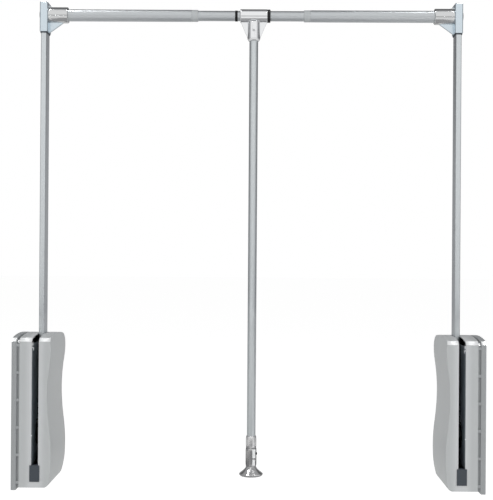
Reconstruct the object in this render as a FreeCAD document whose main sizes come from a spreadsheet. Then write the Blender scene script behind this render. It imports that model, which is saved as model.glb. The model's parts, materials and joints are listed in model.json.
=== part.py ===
import FreeCAD, Part
import math
import os
import re

import Sketcher

# Pull-down wardrobe rail: two side units on the cupboard's walls, two arms that swing
# out and down on sprung pivots, a telescopic rail between them and a pull rod.
# X runs along the rail, -Y is the front, +Z is up. Millimetres and degrees.
# A "reach" is measured inwards from the wall face of the left unit.

Vector = FreeCAD.Vector

SIZES = {
    # whole fitting
    "overall_width": 812,
    "case_depth": 142,
    "running_gap": 0.05,
    "seat_gap": 0.3,
    # wall plate
    "plate_thick": 9,
    "plate_floor": 3,
    "groove_width": 4.5,
    "groove_depth": 4,
    "neck_wall": 3,
    "tab_height": 5,
    "tab_first": 11,
    "tab_pitch": 47,
    "wall_screw_radius": 2.75,
    "wall_boss_radius": 7,
    "wall_screw_low": 36,
    "wall_screw_rise": 192,
    "wall_screw_spread": 88,
    # casing
    "case_foot": 4.5,
    "face_height": 250.2,
    "back_height": 258,
    "bevel_run": 6.5,
    "bevel_rise": 6.2,
    "crown_rise": 4.2,
    "low_radius": 38,
    "top_radius": 20,
    "case_wall": 2.5,
    "edge_radius": 3,
    "slot_width": 11.6,
    "slot_centre": 40.7,
    "slot_foot": 10.5,
    "belly_reach": 68.4,
    "belly_height": 60,
    "waist_reach": 61.4,
    "waist_height": 163,
    "shoulder_reach": 67.5,
    "shoulder_height": 240,
    "lower_turn": 107,
    "upper_turn": 215,
    "chin_radius": 330,
    "corner_radius": 9,
    "corner_dip": 0.5,
    "case_screw_radius": 2,
    "case_screw_head_radius": 4,
    "case_screw_head_thick": 3,
    "case_screw_length": 40,
    "case_boss_radius": 4.5,
    # bumper and rest pad
    "bumper_proud": 1.5,
    "bumper_width": 17,
    "bumper_height": 28,
    "bumper_stem": 12,
    "bumper_lip": 1.6,
    "pad_thick": 2.6,
    "pad_height": 12,
    "rest_rib": 3,
    "rest_rib_drop": 16,
    # pivot
    "pivot_height": 92,
    "pivot_behind_front": 68,
    "swing_angle": 115,
    "axle_radius": 5,
    "axle_head_radius": 8.5,
    "axle_head_thick": 4.5,
    "axle_reach": 63,
    "axle_boss_radius": 8,
    "bush_wall": 2,
    "bush_flange": 1,
    "bush_flange_radius": 9,
    "bush_length": 9,
    "hub_radius": 14,
    "hub_start": 26,
    "hub_end": 46.5,
    "nut_radius": 8.5,
    "nut_thick": 7,
    # lever and its crank
    "crank_radius": 20,
    "crank_thick": 5,
    "crank_end_radius": 8,
    "crank_pin_radius": 3,
    "roller_radius": 6,
    "roller_width": 4.8,
    "neck_rise": 20,
    "tongue_rise": 72,
    "tongue_thick": 6.4,
    "tongue_width": 22,
    "rivet_radius": 3,
    "rivet_head_radius": 5,
    "rivet_head_thick": 1.2,
    "rivet_first": 32,
    "rivet_pitch": 26,
    # spring strut
    "strut_reach": 26,
    "strut_behind_pivot": 24,
    "yoke_play": 1.3,
    "yoke_thick": 5,
    "jaw_thick": 5,
    "jaw_tip": 9.6,
    "platform_radius": 9,
    "platform_thick": 4,
    "guide_rib": 3,
    "guide_shoe": 7,
    "guide_gap": 0.4,
    "guide_foot": 52,
    "guide_height": 84,
    "anchor_drop": 12.5,
    "anchor_radius": 4,
    "anchor_head_radius": 6.5,
    "anchor_head_thick": 4,
    "anchor_boss_radius": 7,
    "eye_radius": 7,
    "eye_width": 8,
    "seat_drop": 17,
    "seat_thick": 3,
    "cylinder_radius": 5.5,
    "cylinder_wall": 1.5,
    "cylinder_length": 86,
    "damper_rod_radius": 2.5,
    "damper_overlap": 25,
    "piston_length": 6,
    "wire_radius": 1.2,
    "spring_turns": 13,
    # arms and corners
    "bar_height": 829.2,
    "arm_width": 10,
    "arm_depth": 30,
    "arm_wall": 1.5,
    "arm_corner": 2,
    "cap_width": 14.2,
    "cap_depth": 34,
    "cap_above": 21.3,
    "cap_below": 31.5,
    "cap_round": 4,
    "cap_pocket": 38,
    "sleeve_radius": 14,
    "sleeve_length": 34.3,
    "sleeve_round": 2,
    "web_thick": 5,
    "web_run": 26,
    "upper_web_run": 9,
    "gasket_thick": 2.2,
    "gasket_wall": 1.2,
    "end_screw_radius": 4,
    "end_screw_head_radius": 8.5,
    "end_screw_head_thick": 2.3,
    "end_screw_bite": 16,
    # telescopic rail
    "outer_radius": 10.5,
    "outer_wall": 1.2,
    "outer_end": 93.3,
    "collar_length": 12,
    "spigot_length": 15,
    "inner_radius": 9,
    "inner_wall": 1.2,
    "inner_length": 465,
    # tee, pull rod and handle
    "tee_offset": 5.2,
    "tee_length": 48.3,
    "tee_radius": 11.9,
    "liner_wall": 0.8,
    "side_play": 4.6,
    "ring_width": 4.6,
    "ring_wall": 0.6,
    "end_collar_width": 5,
    "stem_radius": 11.3,
    "stem_drop": 44.8,
    "stem_taper": 4,
    "stem_tip_radius": 9.3,
    "gusset_thick": 2.5,
    "gusset_run": 12,
    "gusset_drop": 38.6,
    "stem_pocket": 26,
    "tee_screw_radius": 1.9,
    "tee_screw_drop": 27.1,
    "rod_radius": 7.7,
    "rod_wall": 1.2,
    "rod_foot": 36,
    "ferrule_foot": 65.3,
    "ferrule_length": 20.8,
    "ferrule_radius": 9.4,
    "ferrule_end_radius": 8.4,
    "grip_foot": 15,
    "grip_radius": 9.65,
    "grip_waist_radius": 8.8,
    "cone_top": 30.5,
    "cone_radius": 21,
    "rim_height": 19.4,
    "grip_pin_height": 55,
    "grip_pin_radius": 1.5,
    "grip_pin_proud": 1,
}

# Places worked out from the sizes; each uses only names that stand above it.
PLACES = {
    "wall_x": "-overall_width / 2",
    "front_y": "-(case_depth + bumper_proud) / 2 + bumper_proud",
    "back_y": "front_y + case_depth",
    "case_x": "wall_x + plate_thick + groove_width",
    "parting_x": "wall_x + slot_centre",
    "slot_x": "parting_x - slot_width / 2",
    "far_slot_x": "parting_x + slot_width / 2",
    "face_top": "case_foot + face_height",
    "bevel_top": "face_top + bevel_rise",
    "back_top": "case_foot + back_height",
    "bevel_slope": "bevel_rise / bevel_run",
    "bevel_stretch": "sqrt(1 + bevel_slope ^ 2)",
    "crown_run": "case_depth - bevel_run - top_radius",
    "rest_top": "bevel_top + crown_rise - case_wall / 2",
    "crown_chord": "sqrt(crown_run ^ 2 + (bevel_top - back_top) ^ 2)",
    "crown_radius": "(crown_chord ^ 2 / 4 + crown_rise ^ 2) / (2 * crown_rise)",
    "lower_lean": "2 * (belly_reach - waist_reach) / (waist_height - belly_height)",
    "upper_lean": "2 * (shoulder_reach - waist_reach) / (shoulder_height - waist_height)",
    "belly_radius": "(lower_turn - belly_height) / lower_lean",
    "waist_low_radius": "(waist_height - lower_turn) / lower_lean",
    "waist_top_radius": "(upper_turn - waist_height) / upper_lean",
    "shoulder_radius": "(shoulder_height - upper_turn) / upper_lean",
    "lower_turn_reach": "belly_reach - lower_lean * (lower_turn - belly_height) / 2",
    "upper_turn_reach": "waist_reach + upper_lean * (upper_turn - waist_height) / 2",
    "chin_height": "case_foot + corner_radius",
    "chin_reach": "belly_reach - (belly_height - chin_height) ^ 2 / (2 * chin_radius)",
    "crest_height": "bevel_top + crown_rise + 6",
    "crest_reach": "shoulder_reach - (crest_height - shoulder_height) ^ 2 / (2 * shoulder_radius)",
    "pivot_y": "front_y + pivot_behind_front",
    "arm_back_y": "pivot_y + arm_depth / 2",
    "slot_back_y": "arm_back_y + seat_gap + pad_thick",
    "crank_lag": "swing_angle / 2",
    "crank_pin_y": "pivot_y + crank_radius * cos(crank_lag)",
    "crank_pin_z": "pivot_height - crank_radius * sin(crank_lag)",
    "strut_y": "pivot_y + strut_behind_pivot",
    "strut_x": "wall_x + strut_reach",
    "jaw_gap": "roller_radius + yoke_play",
    "yoke_x": "strut_x - yoke_thick / 2 - 3",
    "roller_x": "yoke_x + (yoke_thick - roller_width) / 2",
    "yoke_back_y": "pivot_y + crank_radius + roller_radius + 1",
    "guide_y": "yoke_back_y + 12",
    "guide_back_y": "guide_y + guide_rib * 2 + guide_shoe + guide_gap * 2",
    "platform_z": "crank_pin_z + jaw_gap + jaw_thick - platform_thick / 2",
    "spring_foot": "platform_z + platform_thick",
    "strut_foot": "spring_foot - platform_thick / 2",
    "coil_radius": "platform_radius - wire_radius - 0.5",
    "anchor_height": "face_top - anchor_drop",
    "seat_height": "anchor_height - seat_drop",
    "cylinder_foot": "seat_height - cylinder_length",
    "arm_x": "parting_x",
    "arm_foot": "pivot_height + neck_rise",
    "cap_foot": "bar_height - cap_below",
    "cap_top": "bar_height + cap_above",
    "cap_outer_x": "arm_x - cap_width / 2",
    "cap_inner_x": "arm_x + cap_width / 2",
    "sleeve_end_x": "cap_inner_x + sleeve_length",
    "outer_bore": "outer_radius - outer_wall",
    "spigot_radius": "outer_bore - running_gap",
    "collar_bore": "inner_radius + running_gap",
    "tee_left_x": "tee_offset - tee_length / 2",
    "tee_right_x": "tee_offset + tee_length / 2",
    "liner_radius": "collar_bore + liner_wall",
    "tee_bore": "liner_radius + running_gap",
    "ferrule_top": "ferrule_foot + ferrule_length",
}

FRONT_BACK = "XZ_Plane"
SIDE = "YZ_Plane"
PLAN = "XY_Plane"

doc = FreeCAD.newDocument("PullDownRail")
sheet = doc.addObject("Spreadsheet::Sheet", "Sizes")
for row, (name, number) in enumerate(SIZES.items(), start=1):
    sheet.set("A%d" % row, name)
    sheet.set("B%d" % row, str(number))
    sheet.setAlias("B%d" % row, name)
doc.recompute()
for row, (name, formula) in enumerate(PLACES.items(), start=1):
    sheet.set("D%d" % row, name)
    sheet.set("E%d" % row, "=" + formula)
    sheet.setAlias("E%d" % row, name)
    doc.recompute()

NAMES = set(SIZES) | set(PLACES)
WORD = re.compile(r"[a-z][a-z0-9_]*")


def link(text):
    """The expression with each name in it looked up in the sheet."""
    return WORD.sub(lambda m: "Sizes." + m.group() if m.group() in NAMES else m.group(), text)


def value(text):
    """The number that an expression in the sheet's names stands for."""
    return float(sheet.evalExpression(link(text)))


nodes = []


def new_body(name, place=("0", "0", "0"), many=False):
    """A sub-part, placed by three expressions; many lets it hold several solids."""
    body = doc.addObject("PartDesign::Body", name)
    body.Label = name
    body.AllowCompound = many
    for axis, text in zip("xyz", place):
        body.setExpression("Placement.Base." + axis, link(text))
    nodes.append(body)
    return body


def new_sketch(body, role, lift="0"):
    """A sketch on one of the body's own origin planes, lifted along that plane's normal."""
    sketch = body.newObject("Sketcher::SketchObject", "Sketch")
    plane = next(item for item in body.Origin.OriginFeatures if item.Role == role)
    sketch.AttachmentSupport = (plane, [""])
    sketch.MapMode = "FlatFace"
    sketch.setExpression("AttachmentOffset.Base.z", link(lift))
    return sketch


def hold(sketch, item, point, across, up):
    """Ties one point of a sketch to two expressions, or its height alone."""
    for kind, text in (("DistanceX", across), ("DistanceY", up)):
        if text is None:
            continue
        rule = sketch.addConstraint(Sketcher.Constraint(kind, -1, 1, item, point, value(text)))
        sketch.setExpression("Constraints[%d]" % rule, link(text))


def hold_radius(sketch, item, text):
    """Ties the radius of a circle or an arc to an expression."""
    rule = sketch.addConstraint(Sketcher.Constraint("Radius", item, value(text)))
    sketch.setExpression("Constraints[%d]" % rule, link(text))


def bend(begin, end, radius, outwards):
    """The short arc from begin to end, and whether it was drawn the other way round."""
    chord = end - begin
    half = chord.Length / 2
    side = Vector(-chord.y, chord.x, 0).normalize() * math.sqrt(radius**2 - half**2)
    centre = (begin + end) / 2 + (side if outwards else side.negative())
    first, last = (begin, end) if outwards else (end, begin)
    angles = [math.atan2(point.y - centre.y, point.x - centre.x) for point in (first, last)]
    if angles[1] < angles[0]:
        angles[1] += 2 * math.pi
    circle = Part.Circle(centre, Vector(0, 0, 1), radius)
    return Part.ArcOfCircle(circle, angles[0], angles[1]), not outwards


def outline(sketch, corners):
    """Closed outline, drawn anticlockwise. A corner is (across, up), or
    (across, up, radius, "out" or "in") where an arc that bulges so leads to the next."""
    points = [Vector(value(corner[0]), value(corner[1]), 0) for corner in corners]
    starts = []
    for corner, begin, end in zip(corners, points, points[1:] + points[:1]):
        if len(corner) == 2:
            item = sketch.addGeometry(Part.LineSegment(begin, end))
            starts.append((item, 1, 2))
            continue
        arc, turned_round = bend(begin, end, value(corner[2]), corner[3] == "out")
        item = sketch.addGeometry(arc)
        starts.append((item, 2, 1) if turned_round else (item, 1, 2))
    for (item, _, last), (after, first, _) in zip(starts, starts[1:] + starts[:1]):
        sketch.addConstraint(Sketcher.Constraint("Coincident", item, last, after, first))
    for corner, (item, first, _) in zip(corners, starts):
        hold(sketch, item, first, corner[0], corner[1])
        if len(corner) > 2:
            hold_radius(sketch, item, corner[2])


def box_outline(sketch, left, right, low, high):
    """Rectangle between four expressions."""
    outline(sketch, [(left, low), (right, low), (right, high), (left, high)])


def circle(sketch, across, up, radius):
    centre = Vector(value(across), value(up), 0)
    item = sketch.addGeometry(Part.Circle(centre, Vector(0, 0, 1), value(radius)))
    hold(sketch, item, 3, across, up)
    hold_radius(sketch, item, radius)


def pad(body, sketch, length):
    """Material from the sketch along its normal."""
    feature = body.newObject("PartDesign::Pad", "Pad")
    feature.Profile = sketch
    feature.setExpression("Length", link(length))
    return feature


def cut(body, sketch, length, along=True):
    """A recess from the sketch, along its normal or against it; it must remove something."""
    doc.recompute()
    before = body.Shape.Volume
    feature = body.newObject("PartDesign::Pocket", "Pocket")
    feature.Profile = sketch
    feature.Reversed = along
    feature.setExpression("Length", link(length))
    doc.recompute()
    if body.Shape.Volume > before - 0.01:
        raise ValueError("a recess in %s removes nothing" % body.Label)
    return feature


def round_edges(body, radius, choose):
    """Rounds the edges of the body's last feature that the test picks."""
    doc.recompute()
    base = body.Tip
    picked = ["Edge%d" % (i + 1) for i, edge in enumerate(base.Shape.Edges) if choose(edge)]
    if not picked:
        raise ValueError("no edge to round on %s" % body.Label)
    feature = body.newObject("PartDesign::Fillet", "Fillet")
    feature.Base = (base, picked)
    feature.setExpression("Radius", link(radius))
    return feature


def within(low, high):
    """Test for an edge that lies wholly inside a box; None leaves a side open."""

    def choose(edge):
        box = edge.BoundBox
        lows = (box.XMin, box.YMin, box.ZMin)
        highs = (box.XMax, box.YMax, box.ZMax)
        above = all(want is None or got >= want - 0.01 for got, want in zip(lows, low))
        return above and all(want is None or got <= want + 0.01 for got, want in zip(highs, high))

    return choose


def turned_x(name, centre, *profiles):
    """A piece turned about a line along X; each profile has (x, radius) corners."""
    body = new_body(name, ("0",) + centre, many=len(profiles) > 1)
    sketch = new_sketch(body, PLAN)
    for profile in profiles:
        outline(sketch, profile)
    turn(body, sketch, "H_Axis")
    return body


def turned_z(name, centre, profile):
    """A piece turned about an upright line; the profile has (radius, z) corners."""
    body = new_body(name, centre + ("0",))
    sketch = new_sketch(body, FRONT_BACK)
    outline(sketch, profile)
    turn(body, sketch, "V_Axis")
    return body


def turn(body, sketch, axis):
    feature = body.newObject("PartDesign::Revolution", "Revolution")
    feature.Profile = sketch
    feature.ReferenceAxis = (sketch, [axis])
    feature.Angle = 360


def ring(start, end, bore, radius):
    """Profile of a plain ring or tube between two places on its axis."""
    return [(start, bore), (end, bore), (end, radius), (start, radius)]


def arm_section(sketch, inset="0"):
    """The arm's flat rectangular section with its rounded corners, one inset further in."""
    left, right = ("arm_x %s (arm_width / 2 - %s)" % (sign, inset) for sign in "-+")
    front, back = ("pivot_y %s (arm_depth / 2 - %s)" % (sign, inset) for sign in "-+")
    bow = "(arm_corner - %s)" % inset
    outline(
        sketch,
        [
            (left + " + " + bow, front),
            (right + " - " + bow, front, bow, "out"),
            (right, front + " + " + bow),
            (right, back + " - " + bow, bow, "out"),
            (right + " - " + bow, back),
            (left + " + " + bow, back, bow, "out"),
            (left, back + " - " + bow),
            (left, front + " + " + bow, bow, "out"),
        ],
    )


# ---- casing outlines shared by the wall plate and the two halves of the case ----


def side_profile(foot, inset):
    """The unit seen from the side: flat front, bevelled brow, crowned top, round back."""
    return [
        ("front_y + %s" % inset, "%s + %s" % (foot, inset)),
        ("back_y - low_radius", "%s + %s" % (foot, inset), "low_radius - %s" % inset, "out"),
        ("back_y - %s" % inset, "%s + low_radius" % foot),
        ("back_y - %s" % inset, "back_top - top_radius", "top_radius - %s" % inset, "out"),
        ("back_y - top_radius", "back_top - %s" % inset, "crown_radius - %s" % inset, "out"),
        (
            "front_y + bevel_run + %s * (bevel_stretch - 1) / bevel_slope" % inset,
            "bevel_top - %s" % inset,
        ),
        ("front_y + %s" % inset, "face_top - %s * (bevel_stretch - bevel_slope)" % inset),
    ]


def beyond_wave(inset):
    """What lies past the waved room-side face: full belly, narrow waist, full shoulder."""
    margin = "belly_reach + 20"
    reach = "wall_x - %s + " % inset
    toe = reach + "chin_reach - corner_radius"
    return [
        (toe, "case_foot + %s - corner_dip" % inset, "corner_radius", "out"),
        (reach + "chin_reach", "chin_height + %s - corner_dip" % inset, "chin_radius", "out"),
        (reach + "belly_reach", "belly_height", "belly_radius", "out"),
        (reach + "lower_turn_reach", "lower_turn", "waist_low_radius", "in"),
        (reach + "waist_reach", "waist_height", "waist_top_radius", "in"),
        (reach + "upper_turn_reach", "upper_turn", "shoulder_radius", "out"),
        (reach + "shoulder_reach", "shoulder_height", "shoulder_radius", "out"),
        (reach + "crest_reach", "crest_height"),
        ("wall_x + " + margin, "crest_height"),
        ("wall_x + " + margin, "-case_foot"),
        (toe, "-case_foot"),
    ]


CASE_SCREWS = [
    ("front_y + 26", "case_foot + 12"),
    ("back_y - 16", "case_foot + 26"),
    ("back_y - 12", "pivot_height + 60"),
    ("back_y - 14", "back_top - 26"),
]


def wall_plate():
    body = new_body("left_wall_plate")
    sketch = new_sketch(body, SIDE, "wall_x")
    outline(sketch, side_profile("0", "0"))
    pad(body, sketch, "plate_thick")
    # tray on the room side, and the neck that the case stands on
    inner = "(groove_depth + neck_wall)"
    sketch = new_sketch(body, SIDE, "wall_x + plate_thick")
    outline(sketch, side_profile("case_foot", inner))
    cut(body, sketch, "plate_thick - plate_floor", along=False)
    sketch = new_sketch(body, SIDE, "wall_x + plate_thick")
    outline(sketch, side_profile("case_foot", "groove_depth"))
    outline(sketch, side_profile("case_foot", inner))
    pad(body, sketch, "groove_width")
    # tabs that bridge the groove along the front
    sketch = new_sketch(body, SIDE, "wall_x + plate_thick")
    box_outline(sketch, "front_y + 0.6", "front_y + groove_depth", "tab_first", "tab_first + tab_height")
    tab = pad(body, sketch, "groove_width")
    row = body.newObject("PartDesign::LinearPattern", "TabRow")
    row.Originals = [tab]
    row.Direction = (sketch, ["V_Axis"])
    row.Occurrences = 6
    row.setExpression("Length", link("tab_pitch * 5"))
    body.Tip = row
    # bosses and holes for the four screws into the wall
    sketch = new_sketch(body, SIDE, "wall_x + plate_floor")
    for across, up in wall_screw_places():
        circle(sketch, across, up, "wall_boss_radius")
    pad(body, sketch, "plate_thick - plate_floor")
    sketch = new_sketch(body, SIDE, "wall_x")
    for across, up in wall_screw_places():
        circle(sketch, across, up, "wall_screw_radius")
    cut(body, sketch, "plate_thick")
    return body


def wall_screw_places():
    middle = "(front_y + back_y) / 2"
    low, high = "wall_screw_low", "wall_screw_low + wall_screw_rise"
    sides = [middle + sign + " wall_screw_spread / 2" for sign in (" -", " +")]
    return [(across, up) for across in sides for up in (low, high)]


def case_back():
    body = new_body("left_case_back")
    sketch = new_sketch(body, SIDE, "case_x")
    outline(sketch, side_profile("case_foot", "0"))
    pad(body, sketch, "parting_x - case_x")
    sketch = new_sketch(body, SIDE, "parting_x")
    outline(sketch, side_profile("case_foot", "case_wall"))
    cut(body, sketch, "parting_x - case_x - case_wall", along=False)
    # near edge of the arm's slot, over the front and half of the top
    sketch = new_sketch(body, SIDE, "slot_x")
    box_outline(sketch, "front_y - 1", "slot_back_y", "case_foot + slot_foot", "crest_height")
    cut(body, sketch, "slot_width / 2")
    # rib that carries the rest pad
    sketch = new_sketch(body, SIDE, "slot_x")
    box_outline(sketch, "slot_back_y", "slot_back_y + rest_rib", "rest_top - rest_rib_drop", "rest_top")
    pad(body, sketch, "slot_width / 2")
    # bosses for the axle, the anchor bolt and the case screws
    floor = "case_x + case_wall"
    sketch = new_sketch(body, SIDE, floor)
    circle(sketch, "pivot_y", "pivot_height", "axle_boss_radius")
    pad(body, sketch, "wall_x + hub_start - bush_flange - seat_gap / 2 - (%s)" % floor)
    sketch = new_sketch(body, SIDE, floor)
    circle(sketch, "strut_y", "anchor_height", "anchor_boss_radius")
    pad(body, sketch, "strut_x - eye_width / 2 - running_gap - (%s)" % floor)
    sketch = new_sketch(body, SIDE, floor)
    for across, up in CASE_SCREWS:
        circle(sketch, across, up, "case_boss_radius")
    pad(body, sketch, "parting_x - (%s)" % floor)
    # two ribs that guide the spring follower's shoe
    sketch = new_sketch(body, SIDE, floor)
    guide_top = "guide_foot + guide_height"
    box_outline(sketch, "guide_y", "guide_y + guide_rib", "guide_foot", guide_top)
    box_outline(sketch, "guide_back_y - guide_rib", "guide_back_y", "guide_foot", guide_top)
    pad(body, sketch, "yoke_x - guide_gap - (%s)" % floor)
    sketch = new_sketch(body, SIDE, "case_x")
    circle(sketch, "pivot_y", "pivot_height", "axle_radius + running_gap")
    circle(sketch, "strut_y", "anchor_height", "anchor_radius + running_gap")
    for across, up in CASE_SCREWS:
        circle(sketch, across, up, "case_screw_radius + running_gap")
    cut(body, sketch, "parting_x - case_x")
    return body


def case_cover():
    # hollow of the cover: the same outlines, one wall further in
    core = doc.addObject("PartDesign::Body", "left_cover_core")
    sketch = new_sketch(core, SIDE, "parting_x")
    outline(sketch, side_profile("case_foot", "case_wall"))
    pad(core, sketch, "belly_reach - slot_centre + 4")
    sketch = new_sketch(core, FRONT_BACK, "-back_y")
    outline(sketch, beyond_wave("case_wall"))
    cut(core, sketch, "case_depth")
    body = new_body("left_case_cover")
    sketch = new_sketch(body, SIDE, "parting_x")
    outline(sketch, side_profile("case_foot", "0"))
    pad(body, sketch, "belly_reach - slot_centre + 4")
    hollow = body.newObject("PartDesign::Boolean", "Hollow")
    hollow.Type = "Cut"
    hollow.setObjects([core])
    body.Tip = hollow
    sketch = new_sketch(body, SIDE, "parting_x")
    for across, up in CASE_SCREWS:
        circle(sketch, across, up, "case_boss_radius")
    pad(body, sketch, "belly_reach - slot_centre")
    sketch = new_sketch(body, SIDE, "wall_x + hub_end + bush_flange + nut_thick + seat_gap")
    circle(sketch, "pivot_y", "pivot_height", "axle_boss_radius")
    pad(body, sketch, "belly_reach - hub_end - bush_flange - nut_thick - 1")
    sketch = new_sketch(body, FRONT_BACK, "-back_y - 1")
    outline(sketch, beyond_wave("0"))
    cut(body, sketch, "case_depth + 2")
    brow = within((value("far_slot_x") + 1, None, None), (None, value("front_y"), None))
    round_edges(body, "edge_radius", lambda edge: brow(edge) and edge.BoundBox.XLength < 12)
    # far edge of the arm's slot and the other half of the rest pad's rib
    sketch = new_sketch(body, SIDE, "parting_x")
    box_outline(sketch, "front_y - 1", "slot_back_y", "case_foot + slot_foot", "crest_height")
    cut(body, sketch, "slot_width / 2")
    sketch = new_sketch(body, SIDE, "parting_x")
    box_outline(sketch, "slot_back_y", "slot_back_y + rest_rib", "rest_top - rest_rib_drop", "rest_top")
    pad(body, sketch, "slot_width / 2")
    sketch = new_sketch(body, SIDE, "parting_x")
    circle(sketch, "pivot_y", "pivot_height", "axle_radius + running_gap")
    cut(body, sketch, "axle_reach - slot_centre + 1")
    sketch = new_sketch(body, SIDE, "parting_x")
    for across, up in CASE_SCREWS:
        circle(sketch, across, up, "case_screw_radius + running_gap")
    cut(body, sketch, "case_x + case_screw_length - parting_x + 1")
    return body


def case_screws():
    body = new_body("left_case_screws", many=True)
    sketch = new_sketch(body, SIDE, "case_x - case_screw_head_thick")
    for across, up in CASE_SCREWS:
        circle(sketch, across, up, "case_screw_head_radius")
    pad(body, sketch, "case_screw_head_thick")
    sketch = new_sketch(body, SIDE, "case_x")
    for across, up in CASE_SCREWS:
        circle(sketch, across, up, "case_screw_radius")
    pad(body, sketch, "case_screw_length")
    return body


def bumper():
    """Rubber block that plugs the foot of the slot and stops the lowered arm."""
    body = new_body("left_bumper")
    foot = "case_foot + slot_foot"
    top = "case_foot + slot_foot + bumper_height"
    half = "bumper_width / 2"
    sketch = new_sketch(body, FRONT_BACK, "-front_y")
    box_outline(sketch, "parting_x - " + half, "parting_x + " + half, foot, top)
    pad(body, sketch, "bumper_proud")
    # stem through the slot, and a lip behind the case's wall
    stem = "(slot_width / 2 - running_gap)"
    sketch = new_sketch(body, FRONT_BACK, "-front_y - bumper_stem")
    box_outline(sketch, "parting_x - " + stem, "parting_x + " + stem, foot + " + running_gap", top)
    pad(body, sketch, "bumper_stem")
    sketch = new_sketch(body, FRONT_BACK, "-front_y - bumper_stem")
    lip = stem + " - bumper_lip"
    box_outline(sketch, "parting_x - " + lip, "parting_x + " + lip, top + " - 12", top)
    doc.recompute()
    front = value("front_y - bumper_proud")
    rim = within((None, front, None), (None, front, None))
    round_edges(body, "bumper_proud / 2", rim)
    return body


def rest_pad():
    """Rubber pad behind the raised arm, on the rib at the back of the slot."""
    body = new_body("left_rest_pad")
    sketch = new_sketch(body, SIDE, "parting_x - arm_width / 2")
    low = "rest_top - rest_rib_drop + 1"
    box_outline(sketch, "arm_back_y + seat_gap", "slot_back_y", low, low + " + pad_height")
    pad(body, sketch, "arm_width")
    return body


# ---- pivot, lever and spring strut ----

PIVOT = ("pivot_y", "pivot_height")


def axle():
    head = "case_x - axle_head_thick"
    body = turned_x(
        "left_pivot_axle",
        PIVOT,
        [
            (head, "0"),
            ("wall_x + axle_reach", "0"),
            ("wall_x + axle_reach", "axle_radius - 1"),
            ("wall_x + axle_reach - 1", "axle_radius"),
            ("case_x", "axle_radius"),
            ("case_x", "axle_head_radius"),
            (head + " + 1", "axle_head_radius"),
            (head, "axle_head_radius - 1"),
        ],
    )
    return body


def axle_nut():
    start = "wall_x + hub_end + bush_flange"
    body = new_body("left_axle_nut")
    sketch = new_sketch(body, SIDE, start)
    hexagon(sketch, "pivot_y", "pivot_height", "nut_radius")
    circle(sketch, "pivot_y", "pivot_height", "axle_radius + running_gap")
    pad(body, sketch, "nut_thick * 0.7")
    sketch = new_sketch(body, SIDE, start + " + nut_thick * 0.7")
    circle(sketch, "pivot_y", "pivot_height", "nut_radius * 0.8")
    circle(sketch, "pivot_y", "pivot_height", "axle_radius + running_gap")
    pad(body, sketch, "nut_thick * 0.3")
    return body


def hexagon(sketch, across, up, radius):
    """Six flats about a centre, corners at the radius."""
    corners = []
    for step in range(6):
        turn_by = 60 * step
        corners.append(
            (
                "%s + %s * cos(%d)" % (across, radius, turn_by),
                "%s + %s * sin(%d)" % (up, radius, turn_by),
            )
        )
    outline(sketch, corners)


def pivot_bushes():
    """Two flanged nylon bushes, one in each end of the lever's hub."""
    near, far = "wall_x + hub_start", "wall_x + hub_end"
    bore, barrel = "axle_radius + running_gap", "axle_radius + running_gap + bush_wall"
    first = [
        (near + " - bush_flange", bore),
        (near + " + bush_length", bore),
        (near + " + bush_length", barrel),
        (near, barrel),
        (near, "bush_flange_radius"),
        (near + " - bush_flange", "bush_flange_radius"),
    ]
    second = [
        (far + " - bush_length", bore),
        (far + " + bush_flange", bore),
        (far + " + bush_flange", "bush_flange_radius"),
        (far, "bush_flange_radius"),
        (far, barrel),
        (far + " - bush_length", barrel),
    ]
    return turned_x("left_pivot_bushes", PIVOT, first, second)


def lever():
    """Cast lever: hub, crank with its pin towards the wall, neck and tongue for the arm."""
    body = new_body("left_swing_lever")
    start = "wall_x + hub_start"
    sketch = new_sketch(body, SIDE, start)
    circle(sketch, "pivot_y", "pivot_height", "hub_radius")
    pad(body, sketch, "hub_end - hub_start")
    sketch = new_sketch(body, SIDE, start)
    circle(sketch, "crank_pin_y", "crank_pin_z", "crank_end_radius")
    pad(body, sketch, "crank_thick")
    sketch = new_sketch(body, SIDE, start)
    outline(sketch, crank_web())
    pad(body, sketch, "crank_thick")
    sketch = new_sketch(body, SIDE, "yoke_x - 0.2")
    circle(sketch, "crank_pin_y", "crank_pin_z", "crank_pin_radius")
    pad(body, sketch, "wall_x + hub_start + crank_thick / 2 - yoke_x")
    sketch = new_sketch(body, SIDE, "arm_x - arm_width / 2")
    half = "arm_depth / 2"
    box_outline(sketch, "pivot_y - " + half, "pivot_y + " + half, "pivot_height", "arm_foot")
    pad(body, sketch, "arm_width")
    sketch = new_sketch(body, SIDE, "arm_x - tongue_thick / 2")
    half = "tongue_width / 2"
    top = "pivot_height + tongue_rise"
    outline(
        sketch,
        [
            ("pivot_y - " + half, "arm_foot - 1"),
            ("pivot_y + " + half, "arm_foot - 1"),
            ("pivot_y + " + half, top + " - 4"),
            ("pivot_y + " + half + " - 4", top),
            ("pivot_y - " + half + " + 4", top),
            ("pivot_y - " + half, top + " - 4"),
        ],
    )
    pad(body, sketch, "tongue_thick")
    sketch = new_sketch(body, SIDE, start)
    circle(sketch, "pivot_y", "pivot_height", "axle_radius + running_gap * 2 + bush_wall")
    cut(body, sketch, "hub_end - hub_start")
    sketch = new_sketch(body, SIDE, "arm_x - arm_width / 2")
    for up in rivet_heights():
        circle(sketch, "pivot_y", up, "rivet_radius + running_gap")
    cut(body, sketch, "arm_width")
    return body


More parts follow.
